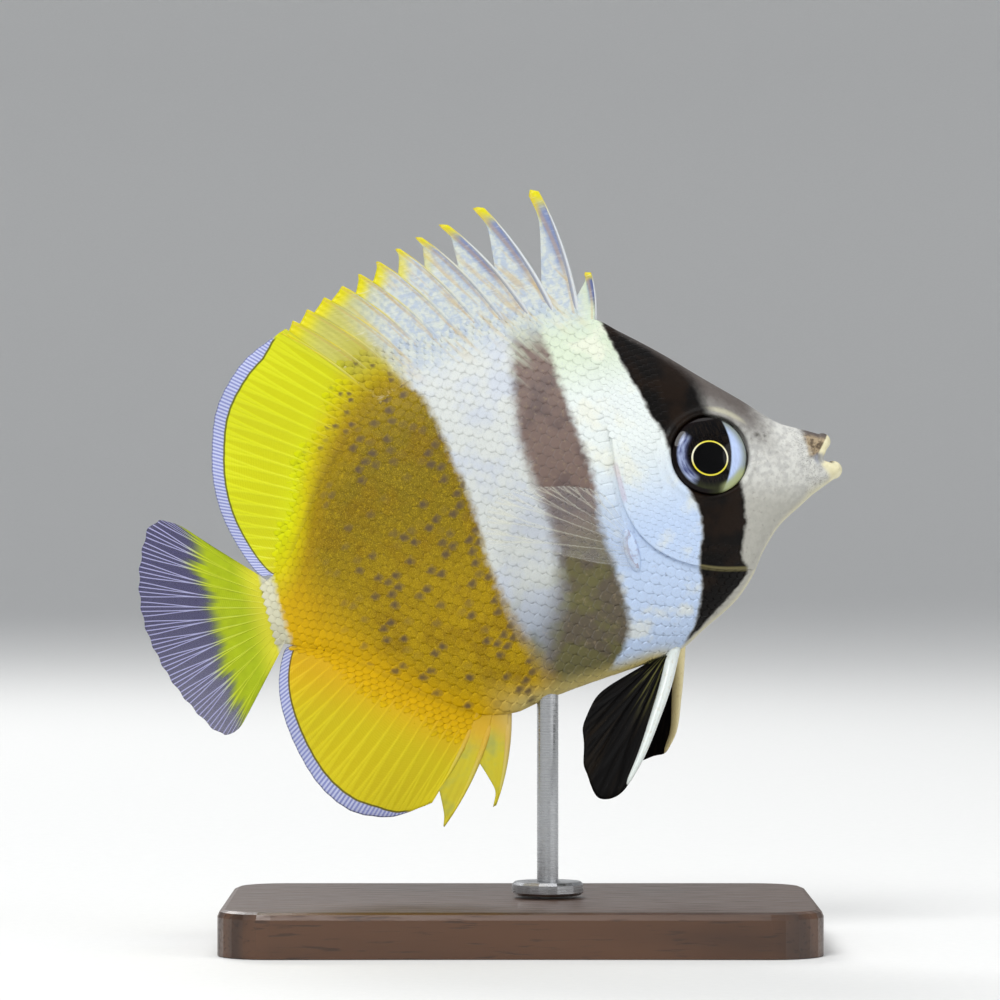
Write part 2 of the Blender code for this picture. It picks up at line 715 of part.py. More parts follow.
def anal_fin(parent):
    count = 2 * ANAL_RAYS + 1
    root = belly_root(ANAL_FEET[0] - 0.2, ANAL_SOFT_ROOT[1], 30)
    edge, creases, axes = spine_fan(root, ANAL_FEET, ANAL_TIPS, ANAL_NOTCHES, -1)
    soft_root = smooth_line([p for p in root if p[0] >= ANAL_SOFT_ROOT[0]], count)
    soft_edge = smooth_line(ANAL_EDGE, count)
    folds, rays = fan(soft_root, soft_edge)
    front_root = [p for p in root if p[0] < ANAL_SOFT_ROOT[0]]
    front = bowed_line(root[0], ANAL_TIPS[0], SPINE_BOW, 4)
    loop = front[1:-1] + edge + soft_edge + soft_root[::-1] + front_root[::-1]
    half = fin_half(root, rays, axes)
    return blade("anal_fin", "yellow_fin", parent, loop, creases + folds, half, place)


def caudal_fin(parent):
    top, low = CAUDAL_ROOT
    count = 2 * CAUDAL_RAYS + 1
    root = [(BODY_END + GAP, float(t)) for t in np.linspace(top, low, count)]
    upper = smooth_line([root[0]] + CAUDAL_TOP[1:], 7)
    rear = smooth_line(CAUDAL_REAR, count)
    lower = smooth_line(CAUDAL_LOW[:-1] + [root[-1]], 7)
    creases, rays = fan(root, rear)
    loop = upper[:-1] + rear + lower[1:-1] + root[:0:-1]
    half = fin_half(root, rays, [])
    return blade("caudal_fin", "clear_fin", parent, loop, creases, half, place)


def pectoral_fin(side, parent):
    """A clear fan that lies back along the flank, standing off it more and more."""
    name = "pectoral_fin_left" if side > 0 else "pectoral_fin_right"
    count = 2 * PECTORAL_RAYS + 1
    root = smooth_line(PECTORAL_ROOT, count)
    edge = smooth_line(PECTORAL_EDGE[::-1], count)
    creases, rays = fan(root[3:-3], edge[3:-3])
    first = PECTORAL_ROOT[0][0]

    def bend(s, t, y):
        out = s - first
        lift = PECTORAL_STAND_OFF + PECTORAL_SPREAD * out - PECTORAL_CURVE * out * out
        return place(s, t, side * (half_width(first, t) + lift) + y)

    half = fin_half(root, rays, [], PAIRED_ROOT_HALF)
    return blade(name, "clear_fin", parent, edge[:-1] + root[:0:-1], creases, half, bend)


def pelvic_fin(side, parent):
    """A fin that hangs from the breast and splays outward towards its tip."""
    hand = "left" if side > 0 else "right"
    points = PELVIC_LEFT if side > 0 else PELVIC_RIGHT
    count = 4 * PELVIC_RAYS + 1
    root = line_between(points[0], points[-1], count - 1)
    edge = smooth_line(points, 31)
    ends = edge[-count - 1:-1]
    folds = [line_between(a, b, RAY_STEPS) for a, b in zip(root[2:-2:2], ends[2:-2:2])]
    spine = offset_line(edge[:10], PELVIC_SPINE_INSET)
    splay = PELVIC_SPLAY[hand]

    def bend(s, t, y):
        down = max(points[0][1] - t, 0.0)
        return place(s, t, side * (PELVIC_ROOT_Y + splay * down) + y)

    half = fin_half(root, folds[::2], [spine], PAIRED_ROOT_HALF)
    loop = edge[:-1] + [root[-1]] + root[-2:0:-4]
    return blade("pelvic_fin_" + hand, "black_fin", parent, loop, folds + [spine], half, bend)


def stand_base():
    """A flat slab with round corners and a small bevel."""
    work = bmesh.new()
    bmesh.ops.create_cube(work, size=1.0)
    size = Matrix.Diagonal((BASE_LENGTH * MM, BASE_WIDTH * MM, BASE_HEIGHT * MM, 1.0))
    bmesh.ops.transform(work, matrix=size, verts=work.verts)
    upright = [e for e in work.edges if abs(e.verts[0].co.z - e.verts[1].co.z) > BASE_HEIGHT * MM / 2]
    bmesh.ops.bevel(work, geom=upright, offset=BASE_CORNER * MM, segments=6, profile=0.5,
                    affect="EDGES")
    top = [e for e in work.edges if min(v.co.z for v in e.verts) > BASE_HEIGHT * MM * 0.49]
    bmesh.ops.bevel(work, geom=top, offset=BASE_BEVEL * MM, segments=2, profile=0.5,
                    affect="EDGES")
    mesh = bpy.data.meshes.new("stand_base")
    work.to_mesh(mesh)
    work.free()
    made = new_object("stand_base", mesh, "wood")
    made.location = (0, 0, BASE_HEIGHT / 2 * MM)
    return made


def stand_rod():
    """The rod with its collar, from just over the base to its seat in the belly."""
    foot = BASE_HEIGHT + GAP
    top = rod_top()
    over = foot + COLLAR_HEIGHT
    profile = [(0, foot), (COLLAR_RADIUS - ROD_EDGE, foot), (COLLAR_RADIUS, foot + ROD_EDGE),
               (COLLAR_RADIUS, over - ROD_EDGE), (COLLAR_RADIUS - ROD_EDGE, over), (ROD_RADIUS, over),
               (ROD_RADIUS, top - ROD_EDGE), (ROD_RADIUS - ROD_EDGE, top), (0, top)]
    made = lathe("stand_rod", profile, "steel", None)
    made.location = (ROD_X * MM, 0, 0)
    return made


clear_scene()
fish = bpy.data.objects.new("fish_pose", None)
bpy.context.scene.collection.objects.link(fish)
fish.location = (SNOUT_X * MM, 0, SNOUT_Z * MM)
fish.rotation_euler = (0, -PITCH, 0)

head(fish)
lower_jaw(fish)
torso(fish)
tail_stalk(fish)
dorsal_fin_spiny(fish)
dorsal_fin_soft(fish)
anal_fin(fish)
caudal_fin(fish)
for hand in (1, -1):
    eye(hand, fish)
    pectoral_fin(hand, fish)
    pelvic_fin(hand, fish)
stand_base()
stand_rod()
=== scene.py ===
"""A young Klein's butterflyfish as a still, life-size museum model on its display stand.

Sizes are in millimetres in the fish's own frame: s runs back from the upper lip, t up from the
axis and y to its left. The frame of the solids gives the pose and the stand.
"""

import math

import bpy
import numpy as np
from mathutils import Matrix, Vector


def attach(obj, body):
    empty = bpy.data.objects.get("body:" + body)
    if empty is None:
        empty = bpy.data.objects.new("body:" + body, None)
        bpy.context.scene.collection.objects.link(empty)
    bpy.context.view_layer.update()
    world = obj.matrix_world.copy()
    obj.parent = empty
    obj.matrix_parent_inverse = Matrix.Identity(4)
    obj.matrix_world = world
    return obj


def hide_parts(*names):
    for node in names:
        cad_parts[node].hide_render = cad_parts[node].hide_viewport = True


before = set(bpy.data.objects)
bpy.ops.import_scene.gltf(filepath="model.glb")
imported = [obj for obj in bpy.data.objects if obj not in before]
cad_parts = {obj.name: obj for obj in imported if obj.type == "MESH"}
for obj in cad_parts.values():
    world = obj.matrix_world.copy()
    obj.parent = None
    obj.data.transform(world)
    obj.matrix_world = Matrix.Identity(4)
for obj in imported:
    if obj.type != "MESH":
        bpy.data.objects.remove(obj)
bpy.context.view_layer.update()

# Base of the stand: a slab of dark hardwood with rounded edges, oiled and rubbed down. It lies
# on the floor and carries the rod.

tree = None


class Flow:
    """A value on its way through the material being made, which takes plain arithmetic."""

    def __init__(self, socket):
        self.socket = socket

    def __add__(self, other):
        return calc("ADD", self, other)

    def __sub__(self, other):
        return calc("SUBTRACT", self, other)

    def __rsub__(self, other):
        return calc("SUBTRACT", other, self)

    def __mul__(self, other):
        return calc("MULTIPLY", self, other)

    def __truediv__(self, other):
        return calc("DIVIDE", self, other)

    def __neg__(self):
        return calc("MULTIPLY", self, -1)

    def __abs__(self):
        return calc("ABSOLUTE", self)


def add_node(kind, inputs, **settings):
    """A node with its settings in the tree being made, and its inputs set or linked."""
    made = tree.nodes.new(kind)
    for key, value in settings.items():
        setattr(made, key, value)
    feed(made, inputs)
    return made


def feed(made, inputs):
    for key, value in inputs.items():
        if isinstance(value, Flow):
            tree.links.new(value.socket, made.inputs[key])
        else:
            made.inputs[key].default_value = value


def node(kind, inputs, output=0, **settings):
    """One output of a new shader node."""
    return Flow(add_node("ShaderNode" + kind, inputs, **settings).outputs[output])


def calc(operation, *values):
    return node("Math", dict(enumerate(values)), operation=operation)


def linear(colour):
    """A flow as it is, or values of 0 to 255 as they look on a screen as a linear colour."""
    if isinstance(colour, Flow):
        return colour
    shares = [c / 255 for c in colour]
    return (*[c / 12.92 if c < 0.04045 else ((c + 0.055) / 1.055) ** 2.4 for c in shares], 1.0)


def paint(ground, *coats):
    """A colour with more laid over it: for each, the share that shows and then the colour."""
    for share, colour in zip(coats[::2], coats[1::2]):
        ground = node("Mix", {0: share, 6: linear(ground), 7: linear(colour)}, 2, data_type="RGBA")
    return ground


def fade(value, low, high, to_low=0, to_high=1):
    """Smoothly from to_low where the value is at low to to_high where it is at high."""
    inputs = {0: value, 1: low, 2: high, 3: to_low, 4: to_high}
    return node("MapRange", inputs, interpolation_type="SMOOTHSTEP")


def noise(place, scale, detail=3, warp=0):
    return node("TexNoise", {"Vector": place, "Scale": scale, "Detail": detail, "Distortion": warp})


def waves(place, scale, direction, warp=0, detail=2, detail_scale=1):
    inputs = {"Vector": place, "Scale": scale, "Distortion": warp, "Detail": detail,
              "Detail Scale": detail_scale}
    return node("TexWave", inputs, "Fac", bands_direction=direction)


def stretched(place, scale):
    return node("Mapping", {"Vector": place, "Scale": scale})


def bump(height, strength, distance, below=None):
    inputs = {"Height": height, "Strength": strength, "Distance": distance}
    return node("Bump", inputs if below is None else {**inputs, "Normal": below})


def new_material(name, roughness):
    """A material, which is the one being made until the next is opened."""
    global tree
    made = bpy.data.materials.new(name)
    made.use_nodes = True
    tree = made.node_tree
    feed(tree.nodes["Principled BSDF"], {"Roughness": roughness})
    return made


def finish(colour, relief=None, coat=(0, 0.03), **others):
    """Feeds the shader. Coat is its weight and roughness; underscores stand for spaces."""
    inputs = {"Base Color": colour, "Coat Weight": coat[0], "Coat Roughness": coat[1]}
    inputs.update({key.replace("_", " "): value for key, value in others.items()})
    feed(tree.nodes["Principled BSDF"], inputs if relief is None else {**inputs, "Normal": relief})


def cover(name, look):
    """Puts a material on a solid of the stand."""
    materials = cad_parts[name].data.materials
    materials.clear()
    materials.append(look)


wood = new_material("oiled_hardwood", 0.42)
place = node("TexCoord", {}, "Object")
rings = waves(stretched(place, (14, 130, 60)), 0.9, "Y", 5, 4, 1.4)
pores = noise(stretched(place, (220, 2600, 2600)), 1, 4)
grain = fade(pores, 0.56, 0.7)
finish(paint((58, 37, 24), rings, (86, 57, 37), grain * 0.55, (28, 18, 12)),
       bump(grain, 0.25, -0.00008), (0.15, 0.25), Roughness=fade(pores, 0.35, 0.7, 0.34, 0.5))
cover("stand_base", wood)

# Rod of the stand: a turned steel rod with a collar, brushed round its length. It stands in the
# base and ends inside the belly.

steel = new_material("brushed_steel", 0.3)
brushing = noise(stretched(node("TexCoord", {}, "Object"), (300, 300, 9000)), 1, 2)
finish(paint((158, 160, 163), brushing, (196, 197, 199)), bump(brushing, 0.12, 0.00004),
       Metallic=1, Roughness=fade(brushing, 0.3, 0.7, 0.22, 0.36))
cover("stand_rod", steel)

# Skin: one closed surface over the head, jaws, body and tail stalk, drawn as rings from the tail
# to the gill cover, over its raised edge, along the face to the lips and into the mouth.

MM = 0.001
PITCH = math.radians(-15)
POSE = Matrix.Translation((35.4 * MM, 0, 54.5 * MM)) @ Matrix.Rotation(PITCH, 4, "Y")
BODY_END = 65.2
BACK = [(0.9, 2.75), (3.1, 3.9), (5.2, 5.1), (8.8, 8.8), (12.5, 12.5), (16.1, 16.2), (19.8, 19.6),
        (22.5, 21.8), (27.7, 22.6), (32.4, 22.5), (37.5, 22.0), (41.9, 21.3), (46.4, 19.7),
        (50.5, 17.5), (54.1, 14.7), (57.4, 11.2), (59.8, 7.9), (62.3, 4.7), (BODY_END, 2.9)]
BELLY = [(0.9, -2.6), (3.3, -3.4), (5.3, -4.4), (8.1, -5.9), (10.8, -8.4), (12.6, -10.7),
         (15.2, -12.9), (19.2, -14.9), (22.5, -16.5), (26.1, -17.0), (34.4, -17.6), (39.2, -18.1),
         (42.1, -18.5), (45.5, -17.9), (49.0, -15.9), (52.8, -12.9), (56.6, -9.5), (60.5, -6.6),
         (BODY_END, -4.3)]
WIDTH = [(0.9, 1.25), (2.5, 1.7), (5.0, 2.5), (8.0, 3.4), (11.0, 4.2), (14.0, 5.0), (18.0, 5.8),
         (23.0, 6.3), (29.0, 6.3), (35.0, 5.8), (41.0, 4.9), (47.0, 3.9), (53.0, 3.0), (59.0, 2.2),
         (BODY_END, 1.6)]
WIDEST = 0.47
BACK_ROUND, BELLY_ROUND = 1.35, 1.1
BACK_WEDGE, BELLY_WEDGE = 0.45, 0.8
RIDGE, KEEL = 0.7, 0.15
RIDGE_START, KEEL_START = 18, 38
STALK_MIDDLE = -0.7
GILL_EDGE = [(21.3, 24.0), (22.6, 14.8), (23.8, 8.7), (24.6, 2.6), (24.2, -1.2), (22.8, -4.2),
             (20.2, -6.7), (16.6, -8.6), (13.1, -9.6), (9.0, -10.2)]
GILL_LIFT = 0.4
GILL_FADE = 5.0
GILL_TOP = 10.5
GILL_RING = 23.0
WARP_LENGTH = 27.0
EYE_S, EYE_T = 13.8, 3.7
ORBIT_RIM = (4.95, 0.38, 0.26)
NOSTRILS = [(8.1, 4.4, 0.3), (7.3, 4.1, 0.2)]
# Creases of the face, each with its depth and its spread
FOLDS = [([(2.8, 3.9), (2.85, 2.5), (2.5, 1.0), (1.9, 0.25)], 0.16, 0.2),
         ([(2.2, -0.2), (3.4, -1.5), (4.3, -3.2)], 0.1, 0.28),
         ([(20.4, 4.5), (20.6, 0.0), (19.8, -3.6), (17.6, -6.0), (14.2, -7.2)], 0.1, 0.3),
         ([(1.8, 0.0), (2.9, 0.3)], 0.14, 0.28),
         ([(9.6, 0.2), (7.2, -1.1), (5.0, -1.7)], 0.05, 0.35),
         ([(18.9, 7.6), (20.8, 8.6), (22.6, 8.2)], 0.05, 0.4)]
LIP_START = 3.6
# Turn round the mouth from the chin, then s, y, t and radius of the lip there
LIP = [(0.0, 0.75, 0.0, -1.5, 1.02), (45.0, 0.92, 0.98, -1.25, 0.84), (75.0, 1.45, 1.3, -0.62, 0.55),
       (90.0, 1.86, 1.4, -0.02, 0.3), (105.0, 1.6, 1.3, 0.62, 0.45), (135.0, 1.2, 1.02, 1.42, 0.66),
       (180.0, 1.12, 0.0, 1.9, 0.95)]
LIP_ROLL = (-10.0, 215.0)
LIP_RINGS = 20
THROAT = (3.6, 0.0, 0.1)
AROUND = 256


def smooth_value(pairs):
    """A smooth function of s through (s, value) pairs, for whole arrays, that never overshoots."""
    x, y = np.array(pairs, float).T
    step = np.diff(y) / np.diff(x)
    with np.errstate(divide="ignore", invalid="ignore"):
        middle = np.where(step[:-1] * step[1:] > 0, 2 / (1 / step[:-1] + 1 / step[1:]), 0.0)
    m = np.concatenate([[step[0]], middle, [step[-1]]])

    def value(s):
        s = np.clip(s, x[0], x[-1])
        i = np.clip(np.searchsorted(x, s, "right") - 1, 0, len(x) - 2)
        gap = x[i + 1] - x[i]
        u = (s - x[i]) / gap
        ends = y[i] * (1 + 2 * u) * (1 - u) ** 2 + y[i + 1] * u * u * (3 - 2 * u)
        return ends + gap * (m[i] * u * (1 - u) ** 2 - m[i + 1] * u * u * (1 - u))

    return value


def smooth_line(points, count):
    """Evenly spaced points on a smooth curve through the given ones."""
    p = np.array(points, float)
    p = np.vstack([2 * p[0] - p[1], p, 2 * p[-1] - p[-2]])
    fine = []
    for i in range(1, len(p) - 2):
        for u in np.linspace(0, 1, 24, endpoint=False):
            a = -0.5 * p[i - 1] + 1.5 * p[i] - 1.5 * p[i + 1] + 0.5 * p[i + 2]
            b = p[i - 1] - 2.5 * p[i] + 2 * p[i + 1] - 0.5 * p[i + 2]
            c = 0.5 * (p[i + 1] - p[i - 1])
            fine.append(((a * u + b) * u + c) * u + p[i])
    return even_line(np.array(fine + [p[-2]]), count)


def even_line(fine, count):
    length = np.concatenate([[0], np.cumsum(np.linalg.norm(np.diff(fine, axis=0), axis=1))])
    even = np.linspace(0, length[-1], count)
    return np.stack([np.interp(even, length, column) for column in fine.T], 1)


def ease(u):
    u = np.clip(u, 0.0, 1.0)
    return u * u * (3 - 2 * u)


def distance(s, t, line):
    """Distance in the side view from each point to the nearest of a line's stretches."""
    best = np.full(np.shape(s), 1e9)
    for (a, b), (c, d) in zip(line, line[1:]):
        share = np.clip(((s - a) * (c - a) + (t - b) * (d - b)) / ((c - a) ** 2 + (d - b) ** 2), 0, 1)
        best = np.minimum(best, np.hypot(s - a - share * (c - a), t - b - share * (d - b)))
    return best


back, belly, width = smooth_value(BACK), smooth_value(BELLY), smooth_value(WIDTH)
gill_line = smooth_line(GILL_EDGE, 60)


def middle_of(s):
    return belly(s) + WIDEST * (back(s) - belly(s))


def section(s, turn):
    """Height and half width of the body at this turn, 0 under the belly and pi on the back."""
    rise = -np.cos(turn)
    upper = rise > 0
    middle = middle_of(s)
    t = middle + rise * np.where(upper, back(s) - middle, middle - belly(s))
    ridged = np.where(upper, ease((s - RIDGE_START) / 4), ease((s - KEEL_START) / 5))
    edge = KEEL + (RIDGE - KEEL) * ridged
    wedge = np.where(upper, BACK_WEDGE * ease((s - RIDGE_START) / 12),
                     BELLY_WEDGE * ease((s - KEEL_START) / 8))
    power = (np.where(upper, BACK_ROUND, BELLY_ROUND) + wedge) / 2
    return t, edge + (width(s) - edge) * np.clip(1 - rise * rise, 0, 1) ** power


def turn_of(s, t):
    middle = middle_of(s)
    reach = np.where(t > middle, back(s) - middle, middle - belly(s))
    return np.arccos(-np.clip((t - middle) / reach, -1, 1))


gill_turns = turn_of(gill_line[:, 0], gill_line[:, 1])
order = np.argsort(gill_turns)


def gill_at(turn):
    """Station of the gill cover's edge at this turn round the body."""
    return np.interp(turn, gill_turns[order], gill_line[order, 0])


def gill_lift(s, t):
    near = np.exp(-distance(s, t, gill_line) / GILL_FADE)
    return GILL_LIFT * near * ease((GILL_TOP - t) / 4.0)


def face_relief(s, t):
    """How far the orbit's rim, the nostrils and the folds of the face stand out or lie in."""
    eye = np.hypot(s - EYE_S, t - EYE_T)
    radius, spread, height = ORBIT_RIM
    lift = height * np.exp(-((eye - radius) / spread) ** 2) - 1.4 * ease((radius - 0.4 - eye) / 0.5)
    for at_s, at_t, size in NOSTRILS:
        out = np.hypot(s - at_s, t - at_t)
        lift += 0.14 * np.exp(-((out - size - 0.14) / 0.14) ** 2) - 0.35 * ease((size - out) / 0.2)
    for line, depth, spread in FOLDS:
        lift -= depth * np.exp(-(distance(s, t, line) / spread) ** 2)
    return lift


def posed(local):
    """Points in metres in the frame's own axes, from millimetres ahead, left and up."""
    return local * MM @ np.array(POSE.to_3x3()).T + np.array(POSE.translation)


def to_world(s, y, t):
    return posed(np.stack(np.broadcast_arrays(-s, y, t), -1))


def grid_faces(rows, columns, closed=False):
    index = np.arange(rows * columns).reshape(rows, columns)
    after = np.roll(index, -1, 1) if closed else index[:, 1:]
    here = index if closed else index[:, :-1]
    quads = np.stack([here[:-1], after[:-1], after[1:], here[1:]], -1)
    return quads.reshape(-1, 4)


def outward(points, faces):
    """The faces, all turned over if they enclose the points inside out."""
    a, b, c = (points[faces[:, i]] for i in range(3))
    volume = np.einsum("ij,ij->i", a, np.cross(b, c)).sum()
    if faces.shape[1] == 4:
        volume += np.einsum("ij,ij->i", a, np.cross(c, points[faces[:, 3]])).sum()
    return faces if volume > 0 else faces[:, ::-1]


def closed_rings(points, rows, sides):
    """Quads between rings, and caps from the end rings to the last two points, all outwards."""
    quads = outward(points, grid_faces(rows, sides, closed=True))
    here = np.arange(sides)
    after, top = np.roll(here, -1), (rows - 1) * sides
    first, last = (np.full(sides, len(points) - k) for k in (2, 1))
    caps = np.stack([first, after, here, last, top + here, top + after], 1).reshape(-1, 3)
    return quads, caps if quads[0][1] == 1 else caps[:, ::-1]


def build(name, points, faces, look, caps=()):
    """A smooth mesh object from points in metres, quads and triangles."""
    mesh = bpy.data.meshes.new(name)
    mesh.from_pydata(points.tolist(), [], faces.tolist() + np.array(caps).tolist())
    mesh.materials.append(look)
    mesh.shade_smooth()
    made = bpy.data.objects.new(name, mesh)
    bpy.context.scene.collection.objects.link(made)
    return made


def piece(name, points, faces, look, slot, nodes, unwrap, caps=(), **layers):
    """A part of the fish with the map that its finish is baked on and the values its look reads."""
    made = build(name, points, faces, look, caps)
    mesh = made.data
    for key, values in layers.items():
        kind, field = ("FLOAT", "value") if values.ndim == 1 else ("FLOAT_VECTOR", "vector")
        layer = mesh.attributes.new(key, kind, "POINT")
        layer.data.foreach_set(field, values.astype(np.float32).ravel())
    corners = np.zeros(len(mesh.loops), dtype=np.int32)
    mesh.loops.foreach_get("vertex_index", corners)
    starts = np.zeros(len(mesh.polygons), dtype=np.int32)
    mesh.polygons.foreach_get("loop_start", starts)
    at = np.stack(unwrap, 1)[corners]
    # A face over the seam of a ring goes on past 1
    top = np.repeat(np.maximum.reduceat(at[:, 1], starts), np.diff([*starts, len(at)]))
    at[:, 1] += top - at[:, 1] > 0.5
    layer = mesh.uv_layers.new(name="OFBake")
    layer.data.foreach_set("uv", at.astype(np.float32).ravel())
    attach(made, "root")
    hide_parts(*nodes)


def skin_u(s, behind):
    """Place along the unwrap: the body behind the gill cover starts after its edge."""
    return 0.12 + s / 78 + 0.012 * behind


full_turn = (np.arange(AROUND) + 0.5) * 2 * math.pi / AROUND
side = np.where(full_turn < math.pi, 1.0, -1.0)
turn = np.minimum(full_turn, 2 * math.pi - full_turn)
gill_s = gill_at(turn)
rings = []


def add_ring(s, y, t, u, mouth=0.0, lip=0.0):
    columns = (s, y * side, t, u, mouth, lip)
    rings.append(np.stack([np.broadcast_to(value, turn.shape) for value in columns], 1))


for share in (0.15, 0.5):
    t, y = section(BODY_END, turn)
    add_ring(BODY_END + 1.1 - 0.9 * share, y * share,
             STALK_MIDDLE + (t - STALK_MIDDLE) * (0.75 + 0.4 * share), skin_u(BODY_END + 2 - share * 2, 1))
for sigma in np.arange(BODY_END, GILL_RING + 0.3, -0.55):
    s = sigma + (gill_s - GILL_RING) * (1 - ease((sigma - GILL_RING) / WARP_LENGTH))
    t, y = section(s, turn)
    add_ring(s, y, t, skin_u(s, 1))
flap = ease((GILL_TOP - section(gill_s, turn)[0]) / 4.0)
for step, share, u in ((0.15, 0.0, 1.0), (-0.45, 0.12, 0.75), (-0.05, 0.3, 0.5), (0.06, 0.7, 0.25)):
    s = gill_s + step * flap + 0.15 * u * (1 - flap)
    t, y = section(s, turn)
    add_ring(s, y + share * gill_lift(gill_s, t), t, skin_u(gill_s, u))
for sigma in np.concatenate([np.arange(GILL_RING, 11, -0.17), np.arange(11, LIP_START, -0.13)]):
    s = LIP_START + (sigma - LIP_START) * (gill_s - LIP_START) / (GILL_RING - LIP_START)
    t, y = section(s, turn)
    add_ring(s, y + gill_lift(s, t) + face_relief(s, t), t, skin_u(s, 0))

lip_turn, *lip_values = np.array(LIP).T
lip_s, lip_y, lip_t, lip_r = (smooth_value(list(zip(np.radians(lip_turn), values)))(turn)
                              for values in lip_values)


def lip_place(roll):
    """A ring on the lips: roll 0 is their outer side, 90 degrees the front and 180 the inside."""
    out, fore = lip_r * math.cos(roll), lip_r * math.sin(roll)
    return lip_s - fore, np.maximum(lip_y + out * np.sin(turn), 0.0), lip_t - out * np.cos(turn)


start_t, start_y = section(LIP_START, turn)
start_y = start_y + gill_lift(LIP_START, start_t)
for share in np.linspace(0, 1, 22)[1:-1]:
    s, y, t = lip_place(math.radians(LIP_ROLL[0]))
    s, t = LIP_START + (s - LIP_START) * share, start_t + (t - start_t) * share
    y = start_y + (y - start_y) * share
    add_ring(s, np.maximum(y + face_relief(s, t), 0.0), t, skin_u(LIP_START * (1 - share), 0), 0.0,
             float(ease((share - 0.72) / 0.28)))
rolls = np.radians(np.linspace(*LIP_ROLL, LIP_RINGS))
for i, roll in enumerate(rolls):
    add_ring(*lip_place(roll), 0.12 - 0.07 * (i + 1) / LIP_RINGS, float(ease((i - 12) / 5)), 1.0)
for share in (0.3, 0.6, 0.85):
    s, y, t = lip_place(rolls[-1])
    add_ring(s + (THROAT[0] - s) * share, y * (1 - share), t + (THROAT[2] - t) * share,
             0.05 - 0.03 * share, 1.0)
ring_count = len(rings)
ends = [[BODY_END + 1.2, 0, STALK_MIDDLE, skin_u(BODY_END + 2.2, 1), 0, 0], [*THROAT, 0.01, 1, 0]]
values = np.concatenate([*rings, ends])
points = to_world(*values.T[:3])
faces, caps = closed_rings(points, ring_count, AROUND)


def curve_of(value, points):
    """A smooth curve through (value, result) points."""
    x, y = np.array(sorted(points), float).T
    reach = max(y.max() - y.min(), 0.001)
    unit = node("MapRange", {0: value, 1: x[0], 2: x[-1]})
    made = add_node("ShaderNodeFloatCurve", {"Value": unit})
    shape = made.mapping.curves[0]
    flat = [((a - x[0]) / (x[-1] - x[0]), (b - y.min()) / reach) for a, b in zip(x, y)]
    for end, spot in zip(shape.points, (flat[0], flat[-1])):
        end.location = spot
    for spot in flat[1:-1]:
        shape.points.new(*spot)
    made.mapping.update()
    return node("MapRange", {0: Flow(made.outputs[0]), 3: y.min(), 4: y.min() + reach})


def split(vector):
    """The three numbers of a vector."""
    return [Flow(end) for end in add_node("ShaderNodeSeparateXYZ", {0: vector}).outputs]


def joined(*parts):
    return node("CombineXYZ", dict(enumerate(parts)))


def length(vector):
    return node("VectorMath", {0: vector}, "Value", operation="LENGTH")


def larger(a, b):
    return calc("MAXIMUM", a, b)


def attribute(name, output="Vector"):
    return node("Attribute", {}, output, attribute_name=name)


def fish_place():
    """Object coordinates turned into the fish's own frame: millimetres ahead, left and up."""
    turned = {"Vector": node("TexCoord", {}, "Object"), "Location": POSE.translation,
              "Rotation": (0, PITCH, 0), "Scale": (MM, MM, MM)}
    return node("Mapping", turned, vector_type="TEXTURE")


def axes_of(place):
    """s, y and t from a place in the fish's own frame."""
    ahead, y, t = split(place)
    return -ahead, y, t


# Front and rear edges of the bars, as (t, s)
BAND_FRONT = [(-16.5, 23.5), (-15.2, 20.6), (-13.8, 18.4), (-12.0, 15.6), (-10.5, 13.6), (-9.6, 12.9),
              (-8.6, 13.3), (-6.4, 12.6), (-4.4, 11.8), (-2.7, 11.5), (-1.0, 11.3), (4.0, 11.9),
              (8.7, 12.6), (10.1, 12.7), (11.8, 13.0), (13.2, 13.7), (15.0, 15.2), (16.2, 16.3),
              (19.6, 19.8), (22.5, 22.2)]
BAND_REAR = [(-16.5, 22.6), (-15.2, 21.2), (-13.8, 20.0), (-11.7, 19.0), (-9.6, 18.3), (-7.4, 18.0),
             (-5.8, 17.4), (-3.6, 16.7), (-1.9, 16.6), (-0.1, 17.0), (5.8, 18.1), (7.8, 18.3),
             (9.7, 19.0), (12.2, 19.5), (14.1, 20.1), (16.5, 20.6), (18.4, 21.0), (22.5, 21.8)]
BAR_FRONT = [(-18.0, 31.5), (-16.7, 30.7), (-14.9, 28.8), (-12.9, 27.6), (-10.7, 27.1), (-5.5, 27.2),
             (-0.7, 27.6), (2.1, 27.2), (4.9, 27.0), (9.6, 27.3), (14.4, 27.7), (19.7, 28.1),
             (23.0, 28.4)]
BAR_REAR = [(-18.0, 40.0), (-15.0, 39.0), (-11.0, 36.6), (-8.0, 34.6), (-4.4, 33.5), (-1.6, 33.0),
            (3.7, 33.3), (10.8, 33.8), (14.2, 33.4), (17.5, 32.8), (20.8, 32.2), (23.0, 32.0)]
OCHRE_FRONT = [(-18.0, 36.8), (-13.0, 38.2), (-8.5, 39.5), (-4.9, 40.3), (-1.9, 40.6), (2.2, 40.7),
               (7.5, 41.0), (10.0, 41.5), (13.0, 41.9), (17.9, 42.9), (19.9, 44.1), (22.5, 45.6),
               (25.3, 46.9), (28.0, 49.0), (32.0, 51.5)]
# How far each colour's edge fades to either side, as (t, reach)
BAND_SOFT = [(-17, 0.3), (6, 0.3), (10, 1), (20, 0.4)]
BAR_SOFT = [(-18, 3.4), (-8, 2.4), (-2, 1.1), (22, 0.9)]
OCHRE_SOFT = [(-18, 2.2), (-9, 1.2), (-2, 0.6), (22, 0.7)]
CREST_SOFT = [(16, 1), (20, 1.3), (24, 2.6), (28, 4.4)]
